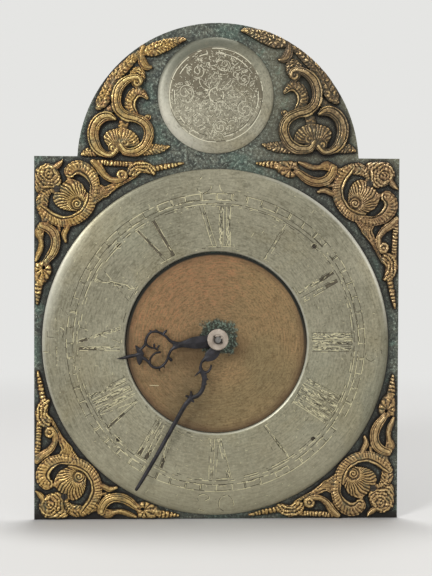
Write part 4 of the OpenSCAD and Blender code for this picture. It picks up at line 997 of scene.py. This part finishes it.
class Engraver:
    """Lines cut in a turned face, each a row of dashes: dark up and to the left, as wax and painted shade on the
    groove's wall, pale down and to the right, as bright metal and a painted highlight on the other wall.
    """

    def __init__(self, centre, profile, seed):
        self.g = np.random.default_rng(seed)
        self.pale, self.dark, self.wax = (Strokes(centre, profile) for _ in range(3))

    def cut(self, points, keep=0.8, width=0.36, dash=2.4, shake=0.05, darkness=0.5):
        """keep is the share of the line that hasn't worn away, darkness the share of the rest that is dark."""
        step = 0.45
        p, k = walk(points, step), 0
        while k < len(p) - 1:
            n = 2 + int(self.g.exponential(dash) / step)
            piece = p[k : k + n + 1] + self.g.normal(0, shake, 2)
            k += n
            if len(piece) < 2 or self.g.random() > keep:
                continue
            # the dark strip goes up and to the left as painted shade on the groove's wall, the pale one down and to
            # the right as a painted highlight on the other
            kind, lip = self.g.random(), np.array([0.5, -0.5]) * width
            if kind < 0.35 + 0.65 * darkness:
                self.dark.line(piece - lip, width)
            if kind > 0.65 * darkness:
                self.pale.line(piece + lip, width)

    def bar(self, angle, top, foot, width, fill, wax, keep):
        """One stroke of a numeral: its two edges, the scratches between them and the wax left in its outer part."""
        a, b = np.array([foot, FOOT_R]), np.array([top, HEAD_R])
        along = (b - a) / np.hypot(*(b - a))
        across = np.array([-along[1], along[0]])
        if width < 1.2:
            self.cut(on_ring(angle, [a, b]), keep)
            return
        for side in (-0.5, 0.5):
            beside = across * side * width
            self.cut(on_ring(angle, [a + beside, b + beside]), keep, dash=4)
        for t in np.arange(0.03, 0.98, 0.022):
            if self.g.random() < fill:
                m = a + (b - a) * t + across * width * self.g.uniform(-0.36, 0.36)
                tilt = along * self.g.uniform(0.5, 1.7) + across * self.g.normal(0, 0.3)
                ink = self.pale if self.g.random() < 0.76 - 0.36 * t else self.dark
                ink.line(on_ring(angle, [m - tilt, m + tilt]), self.g.uniform(0.3, 0.55))
        if wax:
            self.wax.line(on_ring(angle, walk([b + (a - b) * wax, b], 1.0)), width * 0.8, lift=0.02)


FOOT_R, HEAD_R = 73.8, 104.4
# the strokes that can be made out, by hour from twelve:
# x at the top, x at the foot, width, scratches, wax, what is left
NUMERALS = [
    [(-11.8, -1.8, 2.8, 0.15, 0, 0.95), (-2.4, -12, 0.5, 0, 0, 0.1), (3.4, 3, 3, 0.75, 0, 0.7),
     (8.8, 8.7, 3, 0.45, 0, 0.95)],
    [(1.1, 0.4, 2.2, 0.25, 0, 0.75)],
    [(-2.1, -2.1, 3.4, 0.7, 0.38, 0.6), (4.7, 4.5, 3.4, 0.35, 0.34, 0.75)],
    [(-5.4, -5.4, 4, 1, 0, 0.95), (-0.4, -0.4, 4, 1, 0, 0.95), (4.9, 4.9, 4, 1, 0, 0.95)],
    [(-9.9, -9.2, 4.4, 0.9, 0, 0.9), (-3.7, -3.6, 4.4, 1, 0, 0.9), (2.8, 2, 4.4, 1, 0, 0.9),
     (9.2, 7.6, 4.4, 0.8, 0, 0.9)],
    [(-4.4, -0.5, 1.5, 0.5, 0, 0.85), (5.6, 0.4, 0.5, 0, 0, 0.08)],
    [(-10.5, -2.4, 2.8, 0.25, 0, 0.75), (0.6, -2.4, 0.6, 0, 0, 0.7), (4.2, 2.7, 3, 0.1, 0, 0.85)],
    [(-11.7, -4.6, 2.8, 0.15, 0.3, 0.7), (-1.6, -4.4, 0.6, 0, 0, 0.4), (2.2, 2.9, 3.4, 0.5, 0.26, 0.9),
     (8.5, 7.9, 3.4, 0.5, 0.22, 0.9)],
    [(-15, -8.5, 2.4, 0.1, 0.55, 0.6), (-3.3, -8.5, 0.7, 0, 0, 0.75), (0, -1.6, 3.6, 0.85, 0, 0.9),
     (5.6, 4.2, 3.8, 1, 0, 0.9), (11.6, 10.2, 3.6, 0.9, 0, 0.8)],
    [(-4.4, -4.7, 2.8, 0.4, 0.44, 0.9), (0.9, 10.3, 2.8, 0.75, 0.2, 0.7), (11.8, 0.4, 0.6, 0, 0, 0.45)],
    [(-4.7, 4.7, 2.8, 0.8, 0, 0.35), (5.6, -6.1, 0.7, 0, 0, 0.5)],
    [(-9.6, -1.8, 2.0, 0, 0.85, 0.8), (0.4, -11.5, 0.5, 0, 0, 0.25), (4.5, 4.8, 2.6, 0.05, 1, 1)],
]


def oval(rx, ry, n=25):
    a = np.linspace(0.2, 2 * math.pi + 0.2, n)
    return np.stack([rx * np.sin(a), ry * np.cos(a)], -1)


FIGURES = {
    "0": [oval(5.7, 6.4)],
    "1": [[[0, 6.5], [0, -6.5]]],
    "3": [spline([[-4, 5.4], [0.5, 6.6], [4.2, 3.4], [0, 0.6], [4.8, -2.8], [0.6, -6.6], [-4.6, -5]], 4)],
    "4": [[[2, 7.5], [2, -4.4]], [[-8.5, -2.6], [6, -2.6]]],
    "5": [[[-3.5, 6.4], [4.2, 6.4]], [[-3.5, 6.4], [-3.8, 1.2]],
          spline([[-3.8, 1.2], [0.5, 2.4], [4.8, -1.6], [1.6, -6.4], [-4, -5.2]], 4)],
    "6": [spline([[3.4, 5], [-1, 6.4], [-5.4, 1], [-4.4, -4.6], [0.4, -6.5], [5, -2.6], [3, 1.6], [-4, 0]], 4)],
}
# figure, angle on the ring, offset across, radius, which way its head points, what is left of it
MINUTES = [("6", 0, -9.8, 120.6, 1, 0.6), ("0", 0, 7.5, 120.6, 1, 0.6), ("1", 90, -2.6, 126, 1, 0.5),
           ("5", 90, 9.6, 121.5, 1, 0.4), ("3", 180, 9.2, 123, -1, 0.3), ("0", 180, -8, 124, -1, 0.7),
           ("4", 270, -9.1, 124.4, 1, 0.85), ("5", 270, 7.5, 122.4, 1, 0.6)]


def engrave_ring():
    e = Engraver(RING, RING_PROFILE, 5)
    # what is left of the lines is dark at the upper right, pale at the lower right
    def darkness(angle):
        return np.interp(angle % 360, [0, 40, 75, 110, 165, 188, 215, 250, 290, 330, 360],
                         [0.6, 1.0, 0.9, 0.4, 0.2, 0.8, 0.35, 0.75, 0.75, 0.5, 0.6])

    for r, keep in ((72.5, 0.12), (104.8, 0.35), (106.4, 0.8), (109.3, 0.88), (109.8, 0.3), (114.3, 0.9)):
        for a in range(0, 360, 6):
            e.cut(arc(r + e.g.normal(0, 0.08), a, a + 6, 4), keep, width=0.45, dash=3, darkness=darkness(a))
    for k in range(60):
        a = k * 6 + e.g.normal(0, 0.2)
        for x in (-0.5, 0.5):
            e.cut(on_ring(a, [[x, 109.3], [x, 114.3]]), 0.8, width=0.45, dash=5, darkness=darkness(a))
    for h, strokes in enumerate(NUMERALS):
        for stroke in strokes:
            e.bar(h * 30, *stroke)
        low, high = min(q[0] for q in strokes), max(q[0] for q in strokes)
        for r in (FOOT_R, HEAD_R):
            e.cut(on_ring(h * 30, [[low - 2, r], [high + 2, r]]), 0.45)
    for figure, angle, across, r, up, keep in MINUTES:
        for line in FIGURES[figure]:
            points = np.asarray(line, float) * up + [across, r]
            e.cut(on_ring(angle, points), keep, width=0.42, darkness=darkness(angle))
    for at in RIVETS:
        e.cut(oval(2.3, 2.3) + at, 0.6, width=0.3, darkness=0.2)
    for _ in range(240):
        p = on_ring(e.g.uniform(0, 360), [[0, e.g.uniform(74, 128)]])[0]
        d = e.g.normal(0, 1, 2) * 0.5
        (e.pale if e.g.random() < 0.6 else e.dark).line([p - d, p + d], 0.25)
    e.pale.line([[-51, -33], [-44, -33.2]], 0.36, lift=-0.37)
    e.pale.build("ring_scratches_and_highlights", stroke_ink("scratch_and_highlight", (216, 208, 168), (150, 145, 122), 0.6, 0.45))
    e.dark.build("ring_cuts_and_shade", stroke_ink("cuts_and_shade", (60, 53, 38), (118, 112, 90), 0.62))
    e.wax.build("ring_wax", stroke_ink("wax", (84, 77, 62), (118, 111, 90), 0.6))


def spiral(cx, cy, r0, turns, a0, n=26):
    t = np.linspace(0, 1, n)
    a = math.radians(a0) + t * turns * 2 * math.pi
    r = r0 * (1 - t) ** 0.8 + 0.3
    return np.stack([cx + r * np.cos(a), cy + r * np.sin(a)], -1)


def engrave_boss():
    """A round of leaves and scrolls about a rosette, cut in fine lines."""
    e = Engraver(BOSS, BOSS_PROFILE, 9)

    def turned(points, a):
        return np.asarray(points, float)[:, :2] @ np.array([[math.cos(a), -math.sin(a)], [math.sin(a), math.cos(a)]])

    def leaf(x, y, half, length, tilt, a):
        """A pointed leaf from (x, y), with a midrib and a hatch to one side."""
        rim = spline([[0, 0], [half, length * 0.35], [half * 0.8, length * 0.7], [0, length],
                      [-half * 0.8, length * 0.7], [-half, length * 0.35], [0, 0]], 4)
        lines = [(rim, 0.9), ([[0, 0.6], [0, length - 1]], 0.7)]
        lines += [([[0, y0], [half * 0.8, y0 + 1.4]], 0.6) for y0 in np.arange(1, length - 2, 0.9)]
        for line, keep in lines:
            e.cut(turned(turned(line, tilt) + [x, y], a), keep, width=0.3, darkness=0.4)

    for r, keep in ((35.6, 0.95), (32.0, 0.6), (5.6, 0.9)):
        for a in range(0, 360, 12):
            e.cut(arc(r, a, a + 12, 6), keep, width=0.6, dash=8, darkness=0.45)
    for k in range(8):
        leaf(0, 5.8, 2.9, 11.5, 0.0, k * math.pi / 4 + e.g.normal(0, 0.05))
    for k in range(7):
        a = k * 2 * math.pi / 7 + 0.26 + e.g.normal(0, 0.06)
        reach, size = 24 + e.g.normal(0, 0.8), 5.6 + e.g.normal(0, 0.5)
        e.cut(turned(spiral(0, reach, size, 1.5, 200), a), 0.95, dash=6, darkness=0.4)
        e.cut(turned(spiral(0, reach, size + 1.3, 0.6, 200), a), 0.8, width=0.3, darkness=0.5)
        e.cut(turned(spline([[-5.6, 23], [-9, 20.4], [-12, 22], [-13, 27]], 6), a), 0.9, darkness=0.4)
        leaf(-7.4, 24, 1.5, 6.6, 0.5, a)
        leaf(-10.4, 18, 1.3, 5.0, -0.7, a)
        leaf(6.6, 26, 1.2, 4.6, -0.4, a)
    for _ in range(1300):
        r, a = 34.5 * math.sqrt(e.g.random()), e.g.random() * 2 * math.pi
        p = np.array([r * math.cos(a), r * math.sin(a)])
        d = e.g.normal(0, 1, 2)
        d *= e.g.uniform(0.3, 1.2) / np.hypot(*d)
        (e.pale if e.g.random() < 0.55 else e.dark).line([p - d, p + d], e.g.uniform(0.2, 0.4), lift=0.02)
    e.pale.build("boss_lines_and_highlights", stroke_ink("boss_lines_and_highlights", (222, 217, 192), (160, 154, 132), 0.66, 0.4))
    e.dark.build("boss_ground_and_shade", stroke_ink("boss_ground_and_shade", (88, 82, 66), (124, 118, 98), 0.62))


def dial_turnings():
    bores = [(RING[0] + x, RING[1] + y, 1.7) for x, y in RIVETS]
    belongs(lathe("ring_face", RING_PROFILE, RING, M_RING, 320, bores), "frame", "chapter_ring")
    closed = np.vstack([BOSS_PROFILE, [[0.005, 0.02]]])
    belongs(lathe("boss_face", closed, BOSS, M_BOSS, 160), "frame", "arch_boss")
    engrave_ring()
    engrave_boss()


# ---------------------------------------------------------------- hands
def roof(u, s, high=1.35):
    """A filed hand: flat edges rising to a soft ridge."""
    return 0.45 + (high - 0.45) * (1 - np.abs(u)) ** 0.7


def hub(x, y, inset, high=1.2):
    return high * np.clip(0.6 + inset * 0.5, 0, 1)


CHASING.update({roof: 0.015, hub: 0.015})


HOUR = [
    [[-0.4, 5, 10], [-0.2, 10.9, 9.8], [0.6, 17.6, 9.2], [1, 23.4, 6.3], [1.2, 28.3, 4.6], [1.4, 32.2, 4.9]],
    [[2.2, 31, 3.4], [5.3, 35.5, 2.3], [8.8, 37.7, 1.9], [11.5, 40.2, 1.8], [13.8, 43.2, 1.8],
     [15, 46.9, 1.9], [14.4, 50, 2], [12.1, 52.4, 2], [9.5, 53.9, 2.2], [6.7, 54.9, 2.2],
     [4.7, 57.3, 2], [2.8, 60.1, 2.4]],
    [[11.5, 40.2, 1.8], [12.9, 38.4, 2.2], [13.9, 37.2, 1.6]],
    [[13.8, 43.2, 1.5], [16.4, 45.1, 0.8]],
    [[14.9, 47.4, 1.5], [16.5, 49.6, 0.8]],
    [[7.4, 54.6, 1.8], [4.8, 52.8, 1.4], [3.2, 50.7, 1.3], [2.4, 48.4, 1.4], [0.9, 46.6, 1.6]],
    [[2.4, 48.4, 1.3], [5.2, 48.3, 1.7]],
    [[1.7, 47, 1.3], [3.5, 44.9, 1.4]],
    [[0.9, 31.5, 4], [-1, 35.7, 2.2], [-3.1, 37.8, 1.9], [-6.2, 39.7, 1.9], [-9.3, 41.8, 1.9],
     [-11.7, 44.7, 2], [-12.8, 47.9, 2], [-12.1, 51.2, 2], [-10.4, 53.4, 2], [-7.7, 54.8, 2],
     [-4.8, 56.7, 2.2], [-2.6, 59.2, 3], [-0.1, 60.7, 4.4]],
    [[-7.8, 54.3, 1.8], [-5, 53.3, 1.5], [-2.5, 50.8, 1.5], [-1.3, 48.1, 1.5], [-1.4, 45.2, 1.7]],
    [[-6.3, 39.4, 1.5], [-8.8, 38, 2.5]],
    [[-12.8, 47.9, 1.5], [-15, 48.1, 0.8]],
    [[-11.7, 44.5, 1.5], [-13.9, 43.8, 0.8]],
    [[1.8, 60.1, 4.4], [4.7, 61.2, 2.9], [6.9, 62.2, 1]],
    [[-0.6, 60.6, 5.4], [-4.4, 61.5, 4.2], [-7.5, 62.1, 1.3]],
    [[0.2, 59.7, 4.9], [-0.1, 63.2, 2.8], [0, 67.1, 2.8], [-0.2, 71.1, 2.5], [-0.2, 75.1, 1.5], [0, 77.8, 0.5]],
]
MINUTE = [
    [[-1.6, 3, 8], [-2.2, 9.4, 8.4], [-1.2, 12.8, 8.8], [0, 16, 5.6]],
    [[0, 15.4, 5.1], [2.3, 20.1, 2.1], [2, 23.6, 1.9], [0.5, 26.1, 2.9], [-2.3, 27.9, 4]],
    [[-2.2, 27.6, 2.2], [-4.8, 25.6, 1.8], [-5.7, 22.4, 1.6], [-5.1, 19.8, 1.4]],
    [[-0.2, 26.2, 2.2], [0.9, 29.6, 1.6], [2.1, 32.8, 0.6]],
    [[-2.2, 27.6, 4], [-4.2, 29.4, 4.2], [-5.7, 31.9, 3.7], [-6.6, 34.7, 3.5], [-7.7, 37.8, 3.2],
     [-7.7, 41.6, 3.3], [-6.7, 45, 3.3], [-4.7, 47.5, 3.2], [-3.1, 49.6, 3.7]],
    [[-5.3, 30.4, 2.2], [-7.7, 30.2, 1.1]],
    [[-6.3, 33.2, 2.2], [-8.4, 34.3, 1.3]],
    [[-3.2, 49.3, 3.7], [-2.3, 46.5, 2.3], [-1.1, 44.7, 1.4]],
    [[-2.5, 48.9, 2.2], [0.4, 49.1, 1.7]],
    [[-3.6, 50, 2.2], [-6.2, 50.3, 1.6]],
    [[-3.2, 49.3, 4], [-2.5, 53.4, 3.5], [-1.8, 59.6, 3.4], [-1.4, 94.6, 3.1], [-0.6, 119.6, 2.8], [0, 129.6, 2.4]],
]


def hands():
    for name, lines, low, high, angle, back, hub_r, bore_r, body in (
            ("hour_hand", HOUR, (-19, -10), (19, 79), HOUR_ANGLE, HOUR_BACK, 8.0, 5.3, "hour"),
            ("minute_hand", MINUTE, (-11, -9), (9, 132), MINUTE_ANGLE, MINUTE_BACK, 7.0, 3.6, "minute")):
        r, bore = Relief(low, high, HAND_STEP), Relief(low, high, HAND_STEP)
        r.disc(0, 0, hub_r, hub)
        for p in lines:
            r.strap(p, roof)
        bore.disc(0, 0, bore_r, hub)
        r.hole(bore)
        r.finish(1.4, edge=0.3)

        def to_dial(x, y, a=math.radians(angle)):
            return rotated(x, y, a)

        obj = relief_object(name + "_filed", r, to_dial, back, M_BLUED)
        belongs(obj, body, name)


# ---------------------------------------------------------------- the solids that stay
BY_SLOT = {"dial_iron": M_DIAL, "pewter": M_RING, "dial_brass": M_DISC, "gilt_brass": M_GILT,
           "blued_steel": M_BLUED, "iron": M_IRON, "steel": M_STEEL, "brass": M_BRASS}
# pieces turned about their arbor, by its height above the seat
TURNED = {50.0: ("great_wheel", "great_collet", "chain_sprocket", "driver_wheel", "friction_spring"),
          97.6: ("second_wheel",), 132.25: ("escape_wheel",), HAND_Z: ("minute_wheel", "hour_wheel", "hour_pipe")}


def dress_nodes():
    special = dict.fromkeys(("ring_rivets", "spandrel_screws", "hand_pin"), M_DARK_PIN)
    special["hand_collet"] = M_COLLET
    for z, nodes in TURNED.items():
        special.update(dict.fromkeys(nodes, wheel_brass(z)))
    slots = {p["node"]: p["material_slot"] for p in frame["record"]["subparts"]}
    for node, obj in frame["nodes"].items():
        obj.data.materials.clear()
        obj.data.materials.append(special.get(node, BY_SLOT[slots[node]]))


# ---------------------------------------------------------------- stage, camera, light
FLOOR_Z, FLOOR_HALF = -0.0502, 6.0
SEEN = (229, 229, 227)


def paper():
    """A pale floor that keeps the object's shadow and fades away from it into what the world shows."""
    t = Surface("paper", (190, 189, 187))
    away = (t.x * t.x + t.y * t.y).math("SQRT")
    fade = t.add("MapRange", {"Value": away, "From Min": 0.3, "From Max": 1.0}, interpolation_type="SMOOTHSTEP")
    seen = fade * t.add("LightPath", output="Is Camera Ray")
    far = t.add("Emission", {"Color": SEEN, "Strength": 1.0})
    t.add("OutputMaterial", {0: t.add("MixShader", {0: seen, 1: t.shader(0.9, specular=0.1), 2: far})})
    return t.material


def stage():
    corners = [(x * FLOOR_HALF, y * FLOOR_HALF, FLOOR_Z) for x, y in ((-1, -1), (1, -1), (1, 1), (-1, 1))]
    make_mesh("floor", corners, [(0, 1, 2, 3)], paper(), smooth=False)


# the photograph's camera: focal length and width in its pixels, how it is turned in degrees, and where it sees
# the hands' axis, in millimetres right, ahead and up
FOCAL, FRAME_WIDTH, SENSOR = 900.0, 432, 36.0
YAW, PITCH, ROLL = 1.99, 1.11, -0.21
AXIS_SEEN = (1.1, 691.9, -38.9)


def camera():
    """The photograph's view."""
    yaw, pitch, roll = (math.radians(a) for a in (YAW, PITCH, ROLL))
    ry = Matrix(((math.cos(yaw), -math.sin(yaw), 0), (math.sin(yaw), math.cos(yaw), 0), (0, 0, 1)))
    rp = Matrix(((1, 0, 0), (0, math.cos(pitch), -math.sin(pitch)), (0, math.sin(pitch), math.cos(pitch))))
    rr = Matrix(((math.cos(roll), 0, -math.sin(roll)), (0, 1, 0), (math.sin(roll), 0, math.cos(roll))))
    rot = rr @ rp @ ry
    axis = Vector((0, -FACE * 0.001, HAND_Z * 0.001))
    eye_at = axis - (rot.transposed() @ Vector(AXIS_SEEN)) * 0.001
    data = bpy.data.cameras.new("photo")
    data.sensor_fit, data.sensor_width, data.lens = "HORIZONTAL", SENSOR, SENSOR * FOCAL / FRAME_WIDTH
    data.clip_start, data.clip_end = 0.02, 20
    obj = bpy.data.objects.new("photo", data)
    right, ahead, up = rot[0], rot[1], rot[2]
    turn = Matrix((right, up, -ahead)).transposed().to_4x4()
    obj.matrix_world = Matrix.Translation(eye_at) @ turn
    bpy.context.scene.collection.objects.link(obj)
    bpy.context.scene.camera = obj


def lamp(name, at, aim, size, watts):
    data = bpy.data.lights.new(name, "AREA")
    data.shape, data.size, data.size_y, data.energy = "RECTANGLE", *size, watts
    obj = bpy.data.objects.new(name, data)
    obj.location = at
    obj.rotation_euler = (Vector(aim) - Vector(at)).to_track_quat("-Z", "Y").to_euler()
    bpy.context.scene.collection.objects.link(obj)


def lights():
    centre = (0, -0.06, 0.14)
    lamp("key", (-1.0, -1.2, 1.05), centre, (0.42, 0.42), 18)
    lamp("fill", (1.2, -1.3, 0.3), centre, (1.0, 1.0), 4)
    lamp("top", (0.08, 0.1, 1.7), (0, -0.05, 0), (0.6, 0.2), 24)
    lamp("back", (0.9, 1.5, 0.9), centre, (1.0, 1.0), 6)
    world = bpy.data.worlds.new("studio")
    bpy.context.scene.world = world
    t = Tree(world)
    # what the camera, reflections and glass see is the photograph's backdrop; the light itself is dimmer
    camera_ray, glossy, through = (t.add("LightPath", output="Is %s Ray" % kind)
                                   for kind in ("Camera", "Glossy", "Transmission"))
    lit = t.add("Background", {0: (255, 255, 255), 1: 0.43})
    seen = t.add("Background", {0: SEEN, 1: 1.0})
    t.add("OutputWorld", {0: t.add("MixShader", {0: camera_ray.max(glossy).max(through), 1: lit, 2: seen})})


camera()
lights()
stage()
dress_nodes()
dial_turnings()
corner_castings()
arch_castings()
hands()
bpy.context.scene.view_settings.view_transform = "Standard"
